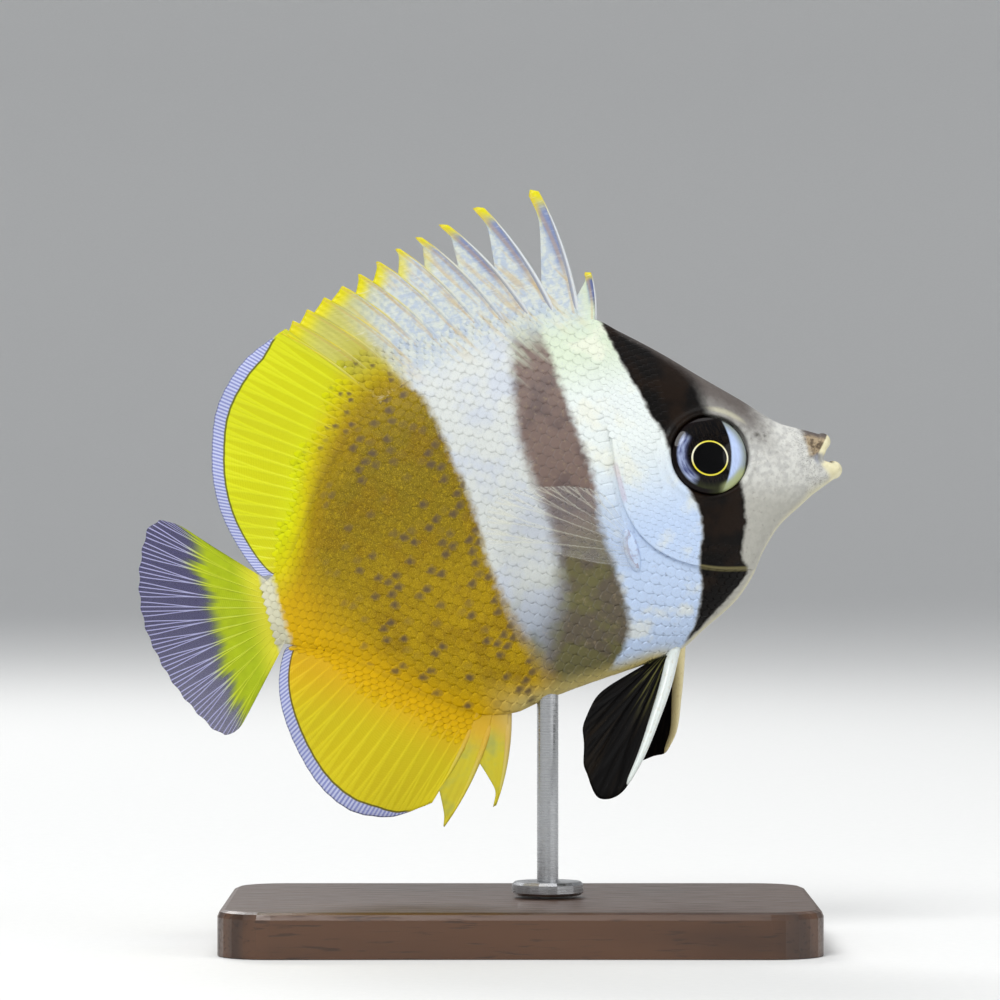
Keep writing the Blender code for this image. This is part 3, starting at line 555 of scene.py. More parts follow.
# How far the flank's brown rises over the back's line, as (s, reach), and the painted highlight
# along the lower edge of the gill cover under the cheek, as (s, t)
BROWN_REACH = [(40, 1), (44, 1.8), (48.5, 3), (55, 1.8), (58, 0.3), (61, -1.6), (66, -2.6)]
GILL_HIGHLIGHT_LINE = [(11, -10.1), (13.1, -9.6), (16.6, -8.6), (20.2, -6.7), (22.8, -4.2)]


def fish_markings():
    """The fish's colours by place, shared by its skin, its scales and the feet of its fins."""
    global tree
    tree = bpy.data.node_groups.new("fish_markings", "ShaderNodeTree")
    tree.interface.new_socket(name="Place", in_out="INPUT", socket_type="NodeSocketVector")
    for name, kind in (("Colour", "Color"), ("Flank", "Float"), ("Dark", "Float"), ("Band", "Float")):
        tree.interface.new_socket(name=name, in_out="OUTPUT", socket_type="NodeSocket" + kind)
    place = Flow(add_node("NodeGroupInput", {}).outputs[0])
    s, y, t = axes_of(place)
    ragged = noise(place, 1.3, 4) * 1.3 - 0.65
    s_rough = s + ragged
    cloud, grit = noise(place, 0.28, 4), noise(place, 2.2)
    grain, tuft = noise(place, 9, 2), noise(place, 1.5, 5)
    streaks = noise(joined(t * -0.62 + s, y * 0.2, t * 0.12), 1.1, 4)
    flat = abs(y)
    above, below = t - curve_of(s, BACK), curve_of(s, BELLY) - t

    jaw = paint((98, 84, 68), fade(tuft, 0.4, 0.6), (166, 148, 120),
                fade(above, -0.9, -0.2), (92, 84, 80))
    from_eye = length(joined(s - EYE_S, t - EYE_T))
    # Painted highlight: a pale cream arc on the skin in front of and above the orbit
    lid_highlight = fade(abs(from_eye - 5.1), 0.5, 0.05, 0, 0.5) * fade(s * -0.7 + t, -0.55, 0.15)
    snout = paint((186, 186, 182), fade(tuft, 0.36, 0.62), (208, 208, 202),
                  fade(grit, 0.52, 0.74, 0, 0.3), (146, 142, 134),
                  fade(s * -0.35 + t, -2, -7, 0, 0.75), (168, 166, 156),
                  fade(above, -7, -0.8, 0, 0.9) * fade(s_rough, 5, 9), (76, 66, 62),
                  fade(s_rough, 3.5, 2.5) * fade(t, 0.2, 0.9), jaw,
                  fade(grain, 0.56, 0.66) * fade(s, 5.5, 3.5, 0, 0.55), (70, 60, 50),
                  # Painted sheen: a pale line along the snout's lower profile near its middle
                  fade(flat, 1.7, 0.5) * fade(t, -0.4, -2, 0, 0.7), (214, 208, 172),
                  lid_highlight, (206, 202, 172))

    white = paint((224, 231, 228), fade(t, 8, -3), (191, 210, 238),
                  fade(t, 12, 19), (206, 218, 194),
                  fade(cloud, 0.52, 0.7, 0, 0.6), (230, 230, 212),
                  fade(grit, 0.58, 0.78, 0, 0.3), (160, 164, 176),
                  fade(grain, 0.5, 0.72, 0, 0.22), (150, 158, 176))
    brown = paint((119, 101, 94), fade(t, 3, -6), (104, 100, 66),
                  fade(cloud, 0.48, 0.62, 0, 0.6), (90, 78, 78),
                  fade(grit, 0.55, 0.75, 0, 0.45), (146, 130, 104))
    second = paint((208, 212, 208), fade(t, -3, -11), (126, 134, 134),
                   fade(cloud, 0.42, 0.62, 0, 0.5), (186, 195, 216),
                   fade(grit, 0.58, 0.78, 0, 0.4), (168, 168, 160),
                   fade(grain, 0.5, 0.72, 0, 0.25), (140, 146, 156))

    over = above - curve_of(s, BROWN_REACH) + ragged
    lemon = paint((210, 198, 2), fade(t, -8, 8), (208, 214, 2))
    spiny = fade(t * -0.85 + s, 32.5, 29) * fade(over, -1, 2.5, 0, 0.85)
    stalk = fade(above, 0.6, 0) * fade(below, 0.6, 0) * fade(s_rough, 64, 64.8)
    ochre = paint((128, 109, 22), fade(t, 10, -11), (178, 146, 10),
                  fade(cloud, 0.45, 0.65, 0, 0.5), (134, 102, 12),
                  fade(grit, 0.55, 0.75, 0, 0.45), (196, 166, 24),
                  fade(grain, 0.5, 0.7, 0, 0.5), (98, 74, 8),
                  fade(grain, 0.46, 0.3, 0, 0.5), (206, 176, 48),
                  fade(t * -0.5 + s, 56, 67), (222, 176, 10),
                  fade(over, -8, -0.5, 0, 0.35), (190, 156, 14),
                  fade(over, -2.4, 2.2), (202, 184, 12),
                  fade(below, -5, 1.5), (222, 176, 4),
                  larger(fade(over, 0, 5.5), fade(below, 1.5, 9, 0, 0.85)), lemon,
                  spiny, (178, 168, 66), stalk, (206, 204, 176))

    s_even = ragged * 0.5 + s
    soft = curve_of(t, BAND_SOFT)
    rear = s_even - curve_of(t, BAND_REAR)
    under = fade(flat, 0.9, 0.4) * fade(t, -6, -9)
    band = (fade(s_even - curve_of(t, BAND_FRONT), -soft, soft) * fade(rear, 0.3, -0.3)
            * (1 - under))
    # Painted highlight: a pale olive line along the gill cover's lower edge, across the black band
    gill_edge_highlight = fade(abs(t - curve_of(s, GILL_HIGHLIGHT_LINE)), 0.4, 0.12) * fade(s, 22, 20)
    black = paint((6, 4, 3), fade(cloud, 0.42, 0.64), (26, 16, 8), gill_edge_highlight * 0.6, (134, 126, 86))
    into_bar = fade(s_rough - curve_of(t, BAR_FRONT), -0.6, 0.6)
    bar_soft = curve_of(t, BAR_SOFT)
    past_bar = fade(s_rough - curve_of(t, BAR_REAR), -bar_soft, bar_soft)
    bar_top = fade((streaks - 0.5) * 16 + t, 26.5, 18)

    ochre_edge = s_rough - curve_of(t, OCHRE_FRONT)
    ochre_soft, crest_soft = curve_of(t, OCHRE_SOFT), curve_of(t, CREST_SOFT)
    rearward = fade(ochre_edge, -crest_soft, crest_soft)
    crest = paint((180, 192, 206), fade(tuft, 0.38, 0.62), (206, 212, 206),
                  fade(streaks, 0.5, 0.66, 0, 0.6), (200, 176, 124), rearward, (200, 186, 30))
    up = fade(above, -2.5, 2.5) * fade(s, 22, 24)
    flank = fade(ochre_edge, -ochre_soft, ochre_soft) * (1 - up * (1 - rearward))
    keel = fade(flat, 2.8, 1) * fade(t, -11, -14) * fade(s, 22, 26) * fade(s, 46, 40)
    pink = fade(abs(s - 24.3), 0.4, 0.15) * fade(t, 0.8, 1.6) * fade(t, 6, 5, 0, 0.32)
    colour = paint(snout, fade(rear, -0.3, 0.3), white, band, black, into_bar * bar_top, brown,
                   past_bar, second, up, crest, flank, ochre, keel, (206, 190, 122),
                   pink, (176, 136, 158))
    dark = fade(ochre_edge, -1.2, 0.4) * flank * fade(below, 0.2, -0.8)
    add_node("NodeGroupOutput", {"Colour": colour, "Flank": flank, "Dark": dark, "Band": band})
    return tree


markings = fish_markings()


def marked(place):
    """The outputs of the fish's markings at a place, by name."""
    made = add_node("ShaderNodeGroup", {"Place": place}, node_tree=markings)
    return {end.name: Flow(end) for end in made.outputs}


skin_look = new_material("fish_skin", 0.38)
place = fish_place()
s, y, t = axes_of(place)
marks = marked(place)
lips = attribute("lip", "Fac") * fade(s * 1.09 + t, 3.05, 2.75)
cream = paint((214, 204, 160), noise(place, 1.6), (236, 232, 202))
# Painted shade: grey-blue darkening in the corner of the mouth
mouth_corner_shade = length(joined(s - 1.95, 0, t - 0.15))
pits = fade(noise(place, 3.4, 0), 0.7, 0.78) * (marks["Band"] * -0.18 + 0.18)
fine = noise(place, 6)
cells = node("TexVoronoi", {"Vector": place, "Scale": 2.6})
finish(paint(marks["Colour"], lips, cream, fade(mouth_corner_shade, 0.9, 0.3, 0, 0.65), (110, 116, 138),
             attribute("mouth", "Fac"), (46, 22, 20), pits, (96, 88, 84)),
       bump(fine, 0.3, 0.00006, bump(cells, 0.25, 0.0001)), (0.04, 0.2),
       Roughness=fade(fine, 0.3, 0.7, 0.38, 0.5), Specular_IOR_Level=0.1)
v = np.concatenate([np.tile(full_turn / (2 * math.pi), ring_count), [0.5, 0.5]])
piece("skin", points, faces, skin_look, "scaled_skin", ("head", "lower_jaw", "torso", "tail_stalk"),
      (values[:, 3], v), caps, mouth=values[:, 4], lip=values[:, 5])

# Scales: thin overlapping plates that lie back over the skin, in rows along the flank, smaller
# on the breast and towards the tail and smallest on the cheek and gill cover.

THIN = 0.085
FOOT_HALF = 0.88
FOOT_LENGTH = 1.8
SCALE_ACROSS = np.array([-1.0, -0.55, 0.0, 0.55, 1.0])
SCALE_ALONG = np.array([0.0, 0.35, 0.65, 0.88, 1.0])
SCALE_SWELL = np.array([0.62, 0.95, 1.0, 0.8, 0.42])
SCALE_THICKNESS = 0.016
SCALE_PATCH = 0.003
BODY_SCALES = {"pitch": [(12, 0.72), (26, 0.98), (48, 1.0), (58, 0.82), (66, 0.66)],
               "row": [(12, 0.95), (26, 1.34), (48, 1.34), (58, 1.1), (66, 0.9)],
               "rise": 0.033, "length": 2.3, "start": 11.5, "end": 65.0}
FACE_SCALES = {"pitch": [(10, 0.5), (24, 0.66)], "row": [(10, 0.66), (24, 0.86)],
               "rise": 0.02, "length": 2.2, "start": 13.0, "end": 25.0}
FIN_SCALES = {"rise": 0.035, "length": 2.2, "pitch": 0.7, "row": 0.94}
STEP_S, STEP_Q = 0.3, 0.15

# Height and half width over stations along the body and arc lengths q round it
table_s = np.arange(1.0, 65.4, STEP_S)
table_q = np.arange(-28.0, 28.1, STEP_Q)
table_turn = np.linspace(0, math.pi, 241)
table = np.zeros((len(table_s), len(table_q), 2))
reach_q = np.zeros((len(table_s), 2))
for i, station in enumerate(table_s):
    t, y = section(station, table_turn)
    arc = np.concatenate([[0], np.cumsum(np.hypot(np.diff(t), np.diff(y)))])
    arc -= np.interp(math.pi / 2, table_turn, arc)
    for k, height in enumerate((t, y)):
        table[i, :, k] = np.interp(table_q, arc, height)
    reach_q[i] = arc[0], arc[-1]


def on_skin(s, q):
    """Height and half width at arc length q round the body, measured up from its widest line."""
    i = np.clip((s - table_s[0]) / STEP_S, 0, len(table_s) - 1.001)
    j = np.clip((q - table_q[0]) / STEP_Q, 0, len(table_q) - 1.001)
    a, b = i.astype(int), j.astype(int)
    i, j = (i - a)[..., None], (j - b)[..., None]
    low = table[a, b] * (1 - j) + table[a, b + 1] * j
    high = table[a + 1, b] * (1 - j) + table[a + 1, b + 1] * j
    both = low * (1 - i) + high * i
    return both[..., 0], both[..., 1]


def scale_spots(plan, keep):
    """Roots of the scales: columns across the body with every other one set half a row up."""
    pitch, row = smooth_value(plan["pitch"]), smooth_value(plan["row"])
    spots, s, column = [], plan["start"], 0
    while s < plan["end"]:
        d = float(row(s))
        low, high = (float(np.interp(s, table_s, reach_q[:, i])) for i in (0, 1))
        for j in range(int(low / d) - 1, int(high / d) + 2):
            q = (j + 0.5 * (column % 2)) * d
            if low + 0.25 < q < high - 0.25:
                spots.append((s, q, float(pitch(s)), d, chance.random(), chance.random()))
        s += float(pitch(s))
        column += 1
    spots = np.array(spots)
    return spots[keep(spots[:, 0], on_skin(spots[:, 0], spots[:, 1])[0])]


def scale_plates(spots, plan, point_at):
    """Corner points of each plate, top then underside, and its own coordinates."""
    s, q, pitch, row, tone, twist = spots.T[:, :, None]
    a, b = (g.ravel() for g in np.meshgrid(SCALE_ACROSS, SCALE_ALONG))
    ahead = (b - 0.12 * a * a * b - 0.12) * (pitch * plan["length"])
    across = a * np.interp(b, SCALE_ALONG, SCALE_SWELL) * (row * 0.6)
    angle = (twist - 0.5) * 0.06
    at_s = s + ahead * np.cos(angle) - across * np.sin(angle)
    at_q = q + ahead * np.sin(angle) + across * np.cos(angle)
    place = point_at(at_s, at_q)
    along, up = point_at(at_s + 0.1, at_q) - place, point_at(at_s, at_q + 0.1) - place
    normal = np.cross(up, along)
    normal /= np.linalg.norm(normal, axis=-1, keepdims=True) + 1e-9
    normal *= np.where(normal[..., 1:2] < 0, -1, 1)
    lift = plan["rise"] * (b * 1.15 - 0.2 - 0.28 * a * a * b) * (0.95 + 0.1 * tone)
    sides = [place + normal * (lift - depth)[..., None] for depth in (0, SCALE_THICKNESS)]
    own = np.stack(np.broadcast_arrays(a, b, tone), -1)
    return np.concatenate(sides, 1), np.concatenate([own, own], 1)


def slab_faces(rows, columns):
    """Faces of a thin closed sheet: its two sides and its rim."""
    quads = grid_faces(rows, columns)
    n = rows * columns
    index = np.arange(n).reshape(rows, columns)
    loop = np.concatenate([index[0, :-1], index[:-1, -1], index[-1, :0:-1], index[:0:-1, 0]])
    after = np.roll(loop, -1)
    rim = np.stack([after, loop, loop + n, after + n], 1)
    return np.concatenate([quads, quads[:, ::-1] + n, rim])


def coat(name, groups, side, nodes):
    """One side's plates as a single mesh. Each group is (plates, own values, u, v)."""
    plates, own, root_u, root_v = (np.concatenate(parts) for parts in zip(*groups))
    count, size = plates.shape[:2]
    points = posed(plates.reshape(-1, 3) * (1, side, 1))
    one = outward(points[:size], slab_faces(len(SCALE_ALONG), len(SCALE_ACROSS)))
    faces = (one[None] + np.arange(count)[:, None, None] * size).reshape(-1, 4)
    own = own.reshape(-1, 3)
    unwrap = (np.repeat(root_u, size) + SCALE_PATCH * (own[:, 1] - 0.5),
              np.repeat(root_v, size) + SCALE_PATCH * 0.5 * own[:, 0])
    piece(name, points, faces, scale_look, "scaled_skin", nodes, unwrap, scale=own)


def fin_half(out, at_root):
    """Half thickness of a fin this far out, from a broad foot that flows into the body."""
    return THIN + (at_root - THIN) * np.exp(-out / FOOT_LENGTH)


def fin_coat(name, root, edge, reach, nodes):
    """Small plates over the foot of a fin, along its rays, as far out as reach says for each."""
    count, plan, spots = 200, FIN_SCALES, []
    root, edge = even_line(root, count), even_line(edge, count)
    step = np.linalg.norm(np.diff(root, axis=0), axis=1).sum() / (count - 1)
    span = edge - root
    span /= np.linalg.norm(span, axis=1, keepdims=True)

    def point_at(out, arc):
        place = np.clip(arc / step, 0, count - 1)
        s, t, ahead, up = (np.interp(place, np.arange(count), column) for column in (*root.T, *span.T))
        limit = np.interp(place / (count - 1), *zip(*reach))
        half = fin_half(out, FOOT_HALF) + 0.025 - 0.05 * np.clip(out / limit, 0, 1.2) ** 2
        return np.stack([-(s + ahead * out), half, t + up * out], -1)

    for row in range(1, int(step * (count - 1) / plan["row"])):
        limit = np.interp(row * plan["row"] / step / count, *zip(*reach))
        for k in range(int(limit / plan["pitch"])):
            small = 1 - 0.35 * k * plan["pitch"] / max(limit, 1.0)
            arc = (row + 0.5 * (k % 2)) * plan["row"]
            spots.append((k * plan["pitch"], arc, plan["pitch"] * small, plan["row"] * small,
                          chance.random(), chance.random()))
    spots = np.array(spots)
    for hand, side_name in ((1, "left"), (-1, "right")):
        u = 0.02 + 0.3 * spots[:, 0] / 10 + (0.35 if hand > 0 else 0.0)
        v = 0.02 + 0.9 * spots[:, 1] / (step * count)
        groups = [(*scale_plates(spots, plan, point_at), u, v)]
        coat(name + "_" + side_name, groups, hand, nodes)


def behind_gills(s, t):
    return s > gill_at(turn_of(s, t)) - 0.25


def on_cheek(s, t):
    clear = np.hypot(s - EYE_S, t - EYE_T) > 5.9
    edge = gill_at(turn_of(s, t)) - 0.15 - 1.15 * ease((GILL_TOP - t) / 4.0)
    return clear & (s < edge) & ((s > 16.5) | (t < -6.5) & (s > 13.5))


scale_look = new_material("fish_scales", 0.36)
place = fish_place()
s, y, t = axes_of(place)
own = attribute("scale")
across, along, tone = split(own)
marks = marked(place)
flank = marks["Flank"]
shade = (tone - 0.5) * fade(flank, 0, 1, 0.03, 0.12) + 1
grey = node("CombineColor", {0: shade, 1: shade, 2: shade})
colour = node("Mix", {0: 1, 6: marks["Colour"], 7: grey}, 2, data_type="RGBA", blend_type="MULTIPLY")
reach = across * across * 0.14 + along
pale = paint((236, 238, 240), flank, (206, 176, 50))
spot = length(joined(across * 0.8, (along - 0.72) * 2))
few = tone + fade(s, 47, 41, -0.06, 0.14)
dotted = (fade(noise(place, 2.4) * 0.7 + spot, 1.15, 0.4) * fade(few, 0.68, 0.84)
          * fade(s, 61, 53, 0, 0.85) * marks["Dark"])
fine = noise(place, 7, 2)
# Painted shade: each plate darker at its root, under the tip of the plate before it, most on the flank;
# painted highlight: its free edge paler outside the band
finish(paint(colour, fade(reach, 0.62, 0.4) * fade(flank, 0, 1, 0.02, 0.15), (60, 48, 34),
             fade(reach, 0.86, 1, 0, 0.05) * (1 - marks["Band"]), pale, dotted, (84, 70, 60)),
       bump(fine, 0.25, 0.00004, bump(waves(own, 1.6, "X", 1), 0.1, 0.00005)), (0.04, 0.22),
       Roughness=fade(fine, 0.3, 0.7, 0.38, 0.52), Specular_IOR_Level=0.1)
chance = np.random.default_rng(7)
body_spots = scale_spots(BODY_SCALES, behind_gills)
face_spots = scale_spots(FACE_SCALES, on_cheek)
for hand, name in ((1, "left"), (-1, "right")):
    groups = []
    for spots, plan, behind in ((body_spots, BODY_SCALES, 1), (face_spots, FACE_SCALES, 0)):

        def flank_point(s, q):
            t, y = on_skin(s, q)
            return np.stack([-s, y if behind else y + gill_lift(s, t), t], -1)

        root_s, root_q = spots.T[:2]
        round_v = turn_of(root_s, on_skin(root_s, root_q)[0]) / (2 * math.pi)
        groups.append((*scale_plates(spots, plan, flank_point), skin_u(root_s, behind),
                       round_v if hand > 0 else 1 - round_v))
    coat("scales_" + name, groups, hand, ("torso", "tail_stalk", "head"))

# Eyes: glass-like domes set in the orbits, with a black pupil inside a thin gold ring and a pale
# blue crescent before and behind it.

EYE_RADIUS = 4.36
EYE_PROFILE = [(r, (1 - (r / EYE_RADIUS) ** 2) ** 0.85) for r in np.linspace(0.12, 4.32, 30)]
EYE_PROFILE += [(EYE_RADIUS, -0.1), (4.34, -0.6), (3.9, -1.3), (2.6, -1.9)]
EYE_SUNK = 0.3
PUPIL = 2.08
EYE_SIDES = 96

eye_look = new_material("glass_eye", 0.4)
place = attribute("iris")
ahead, up, _ = split(place)
across, high = up * -0.26 + ahead, ahead * 0.26 + up
pupil = length(joined(across + 0.17, high * 1.06 + 0.5))
out = length(place)
fibre = noise(stretched(place, (3, 0.7, 1)), 1.6, 3, 0.3)
olive = fade(out, 3, 3.9) * fade(high, -1, -2.6, 0, 0.8)
before = fade(high * high * 0.055 + across, 2.3, 2.55) * fade(out, 4.3, 4.05)
pale = paint((184, 202, 236), fade(out, 3.1, 4.1), (136, 144, 136),
             fade(fibre, 0.4, 0.7, 0, 0.35), (150, 164, 200))
low_edge = fade(out, 3.2, 3.8) * fade(high, -0.8, -2.2, 0, 0.85) * fade(across, 0.8, 2.2)
toward = (high * 0.2 + across) / out
after = fade(out, 2.5, 3.2) * fade(out, 4, 3.6) * fade(toward, -0.58, -0.84)
arcs = noise(joined(out * 5, toward * 2.5, high), 0.8)
blue = paint((160, 172, 204), fade(arcs, 0.3, 0.72), (70, 78, 120), fade(out, 3.2, 2.6), (50, 50, 84))
# Painted shade: a dark ring at the rear rim of the eyeball, where the gap to the orbit lies in shadow
orbit_gap_shade = fade(out, 3.75, 3.95) * fade(across, 1.2, -0.6)
gold = paint((232, 228, 200), fade(abs(high), 0.4, 1.5), (222, 210, 70))
finish(paint((4, 3, 4), fade(fibre, 0.4, 0.7), (24, 18, 13), olive, (48, 52, 28), before, pale,
             low_edge, (170, 178, 126), after, blue, orbit_gap_shade, (12, 5, 5),
             fade(pupil, PUPIL + 0.02, PUPIL - 0.02), (3, 3, 4),
             fade(abs(pupil - PUPIL), 0.12, 0.06), gold),
       None, (0.25, 0.02), Specular_IOR_Level=0.02)
eye_turn = np.arange(EYE_SIDES) * 2 * math.pi / EYE_SIDES


def side_at(s, t):
    """Half width of the head at a place in the side view."""
    return float(section(s, turn_of(s, t))[1])


lean_s, lean_t = ((side_at(EYE_S + ds, EYE_T + dt) - side_at(EYE_S - ds, EYE_T - dt)) / 6
                  for ds, dt in ((3, 0), (0, 3)))
for hand, name in ((1, "left"), (-1, "right")):
    outside = Vector((lean_s, hand, -lean_t)).normalized()
    ahead = (Vector((1, 0, 0)) - outside * outside.x).normalized()
    above = outside.cross(ahead)
    above = above if above.z > 0 else -above
    centre = np.array((-EYE_S, hand * side_at(EYE_S, EYE_T), EYE_T)) - np.array(outside) * EYE_SUNK
    r, h = (np.array(column)[:, None] for column in zip(*EYE_PROFILE))
    x, y = r * np.cos(eye_turn), r * np.sin(eye_turn)
    iris = np.stack([x, y, np.zeros_like(x)], -1).reshape(-1, 3)
    iris = np.concatenate([iris, np.zeros((2, 3))])
    heights = np.concatenate([np.broadcast_to(h, x.shape).ravel(), [1.0, -2.1]])
    points = posed(centre + iris[:, :1] * np.array(ahead) + iris[:, 1:2] * np.array(above)
                   + heights[:, None] * np.array(outside))
    rows = len(EYE_PROFILE)
    faces, caps = closed_rings(points, rows, EYE_SIDES)
    row_u = np.concatenate([np.repeat(np.arange(rows) / (2.2 * rows), EYE_SIDES), [0, 0.48]])
    angle = np.concatenate([np.tile(eye_turn, rows), [0, 0]])
    piece("eyeball_" + name, points, faces, eye_look, "eye", ("eye_" + name,),
          (0.5 + row_u * np.cos(angle), 0.5 + row_u * np.sin(angle)), caps, iris=iris)

# Fins in general: each is a thin closed sheet from its root to its edge, with a ridge along each
# ray that branches towards the edge. Its material reads the ray, the share along and the distance
# from the edge.

RAY_HEIGHT = 0.075
FIN_COAT = (0.08, 0.25)


def ray_ridge(ray, along, branch, breadth):
    """Height of the rays, as a share, where they branch from the share given on."""
    phase = np.abs(ray % 1.0 - 0.5)
    first = 0.24 * ease((along - branch) / (1 - branch))
    second = 0.12 * ease((along - branch - 0.3) / (0.7 - branch))
    near = np.abs(np.abs(phase - first) - second)
    return np.exp(-(near / breadth) ** 2)


def fin_sheet(name, root, edge, rays, samples, rows, look, slot, node_name, at_y=None,
              root_half=FOOT_HALF, branch=0.4, notch=0.003, mirror=1, breadth=0.085):
    """A fin as a grid across its rays and along them. at_y gives y for (s, t) off the middle."""
    count = rays * samples + 1
    root, edge = even_line(root, count), even_line(edge, count)
    ray = np.arange(count)[None] / samples
    along = np.linspace(0, 1, rows)[:, None] ** 0.9
    ridge = ray_ridge(ray, along, branch, breadth)
    span = edge - root
    length = np.linalg.norm(span, axis=1)[None]
    tips = 1 - notch * (1 - np.exp(-((ray % 1.0 - 0.5) / 0.28) ** 2))
    reach = along * (1 + (tips - 1) * ease((along - 0.7) / 0.3))
    s, t = (root[:, i] + span[:, i] * reach for i in (0, 1))
    out = reach * length
    half = fin_half(out, root_half)
    half = half + ridge * RAY_HEIGHT * (1 - 0.6 * along) * ease(out / 4.0)
    half = half * (1 - 0.5 * ease((along - 0.96) / 0.04))
    y = 0.3 * np.sin(ray * 0.8) * reach ** 2 if at_y is None else at_y(s, t)
    points = np.concatenate([to_world(s, mirror * y + k * half, t).reshape(-1, 3) for k in (1, -1)])
    own = np.stack(np.broadcast_arrays(ray, along, (1 - along) * length), -1).reshape(-1, 3)
    u = own[:, 0] / rays * 0.49
    piece(name, points, outward(points, slab_faces(rows, count)), look, slot, (node_name,),
          (np.concatenate([u, 0.51 + u]), np.tile(own[:, 1], 2)),
          fin=np.concatenate([own, own]), ridge=np.tile(ridge.ravel(), 2))


def fin_inputs():
    """Ray number, share along, distance from the edge, height of ray here, and the fish's place."""
    return *split(attribute("fin")), attribute("ridge", "Fac"), fish_place()


def tube(path, radii, sides=10):
    """Points, faces and own values of a tapered round bar along (s, y, t) points, closed at both ends."""
    ahead = np.gradient(path, axis=0)
    ahead /= np.linalg.norm(ahead, axis=1, keepdims=True)
    across = np.cross(ahead, (0.0, 1.0, 0.0))
    across /= np.linalg.norm(across, axis=1, keepdims=True)
    other = np.cross(ahead, across)
    angle = np.arange(sides) * 2 * math.pi / sides
    rings = (path[:, None] + (across[:, None] * np.cos(angle)[None, :, None]
             + other[:, None] * np.sin(angle)[None, :, None]) * radii[:, None, None])
    world = to_world(*np.concatenate([rings.reshape(-1, 3), path[:1], path[-1:]]).T)
    along, front = np.linspace(0, 1, len(path))[:, None], np.cos(angle)
    own = np.stack(np.broadcast_arrays(front, along, 0.0), -1).reshape(-1, 3)
    own = np.concatenate([own, [[0, 0, 0], [0, 1, 0]]])
    return world, *closed_rings(world, len(path), sides), own


def spines(name, bars, slot, node_name, first_number=0):
    """Several bars as one mesh, numbered for their look."""
    points, quads, caps, own, first = [], [], [], [], 0
    for number, (path, radii) in enumerate(bars, first_number):
        world, faces, tips, values = tube(path, radii)
        values[:, 2] = number
        points.append(world)
        quads.append(faces + first)
        caps.append(tips + first)
        own.append(values)
        first += len(world)
    points, quads, caps, own = (np.concatenate(parts) for parts in (points, quads, caps, own))
    u = (own[:, 2] - first_number + 0.25 + 0.2 * own[:, 0]) / len(bars)
    piece(name, points, quads, spine_look, slot, (node_name,), (u, own[:, 1]), caps, spine=own)


def bowed(foot, tip, bow, steps):
    """Points from foot to tip, bent forward by a share of its length."""
    u = np.linspace(0, 1, steps)[:, None]
    foot, tip = np.array(foot), np.array(tip)
    span = tip - foot
    push = np.array([-abs(span[1]), math.copysign(span[0], span[1])])
    return foot + span * u + 4 * u * (1 - u) * bow * push


# Spiny dorsal fin: thirteen stout tapering spines, white in front with yellow tips, and between
# them a membrane that is cut deeply behind each tip and left there as a pennant.

DORSAL_FEET = [22.1, 23.8, 25.9, 28.3, 31.0, 33.5, 35.8, 38.0, 40.1, 42.1, 44.0, 45.8, 47.5]
DORSAL_TIPS = [(21.2, 26.9), (24.5, 37.2), (30.9, 37.0), (35.3, 36.2), (38.5, 35.6), (41.2, 35.0),
               (43.8, 34.2), (46.2, 33.4), (48.4, 32.6), (50.7, 31.9), (52.9, 31.1), (54.8, 30.3),
               (56.5, 29.4)]
DORSAL_SIZES = [0.26, 0.38, 0.37, 0.34, 0.3, 0.27, 0.25, 0.23, 0.22, 0.2, 0.19, 0.18, 0.18]
NOTCH_UNDER_SECOND = 12.6
NOTCH_FIRST = 10.6
NOTCH_FALL = 0.68
SPINE_BOW = 0.045
SPINE_STEPS = 18
PANEL_ROWS, PANEL_ACROSS = 34, 14
SUNK = 0.5


def spine_bars(feet, tips, sizes, outline, up):
    """Paths and radii of spines from the body's outline to their tips."""
    bars, share = [], np.linspace(0, 1, SPINE_STEPS)
    for s, tip, size in zip(feet, tips, sizes):
        line = bowed((s, float(outline(s)) - up * SUNK), tip, SPINE_BOW, SPINE_STEPS)
        s = line[:, 0] + 0.3 * np.linspace(1, 0.2, SPINE_STEPS)
        bars.append((np.stack([s, 0 * s, line[:, 1]], 1), size * (1 - share) ** 0.8 + 0.05))
    return bars


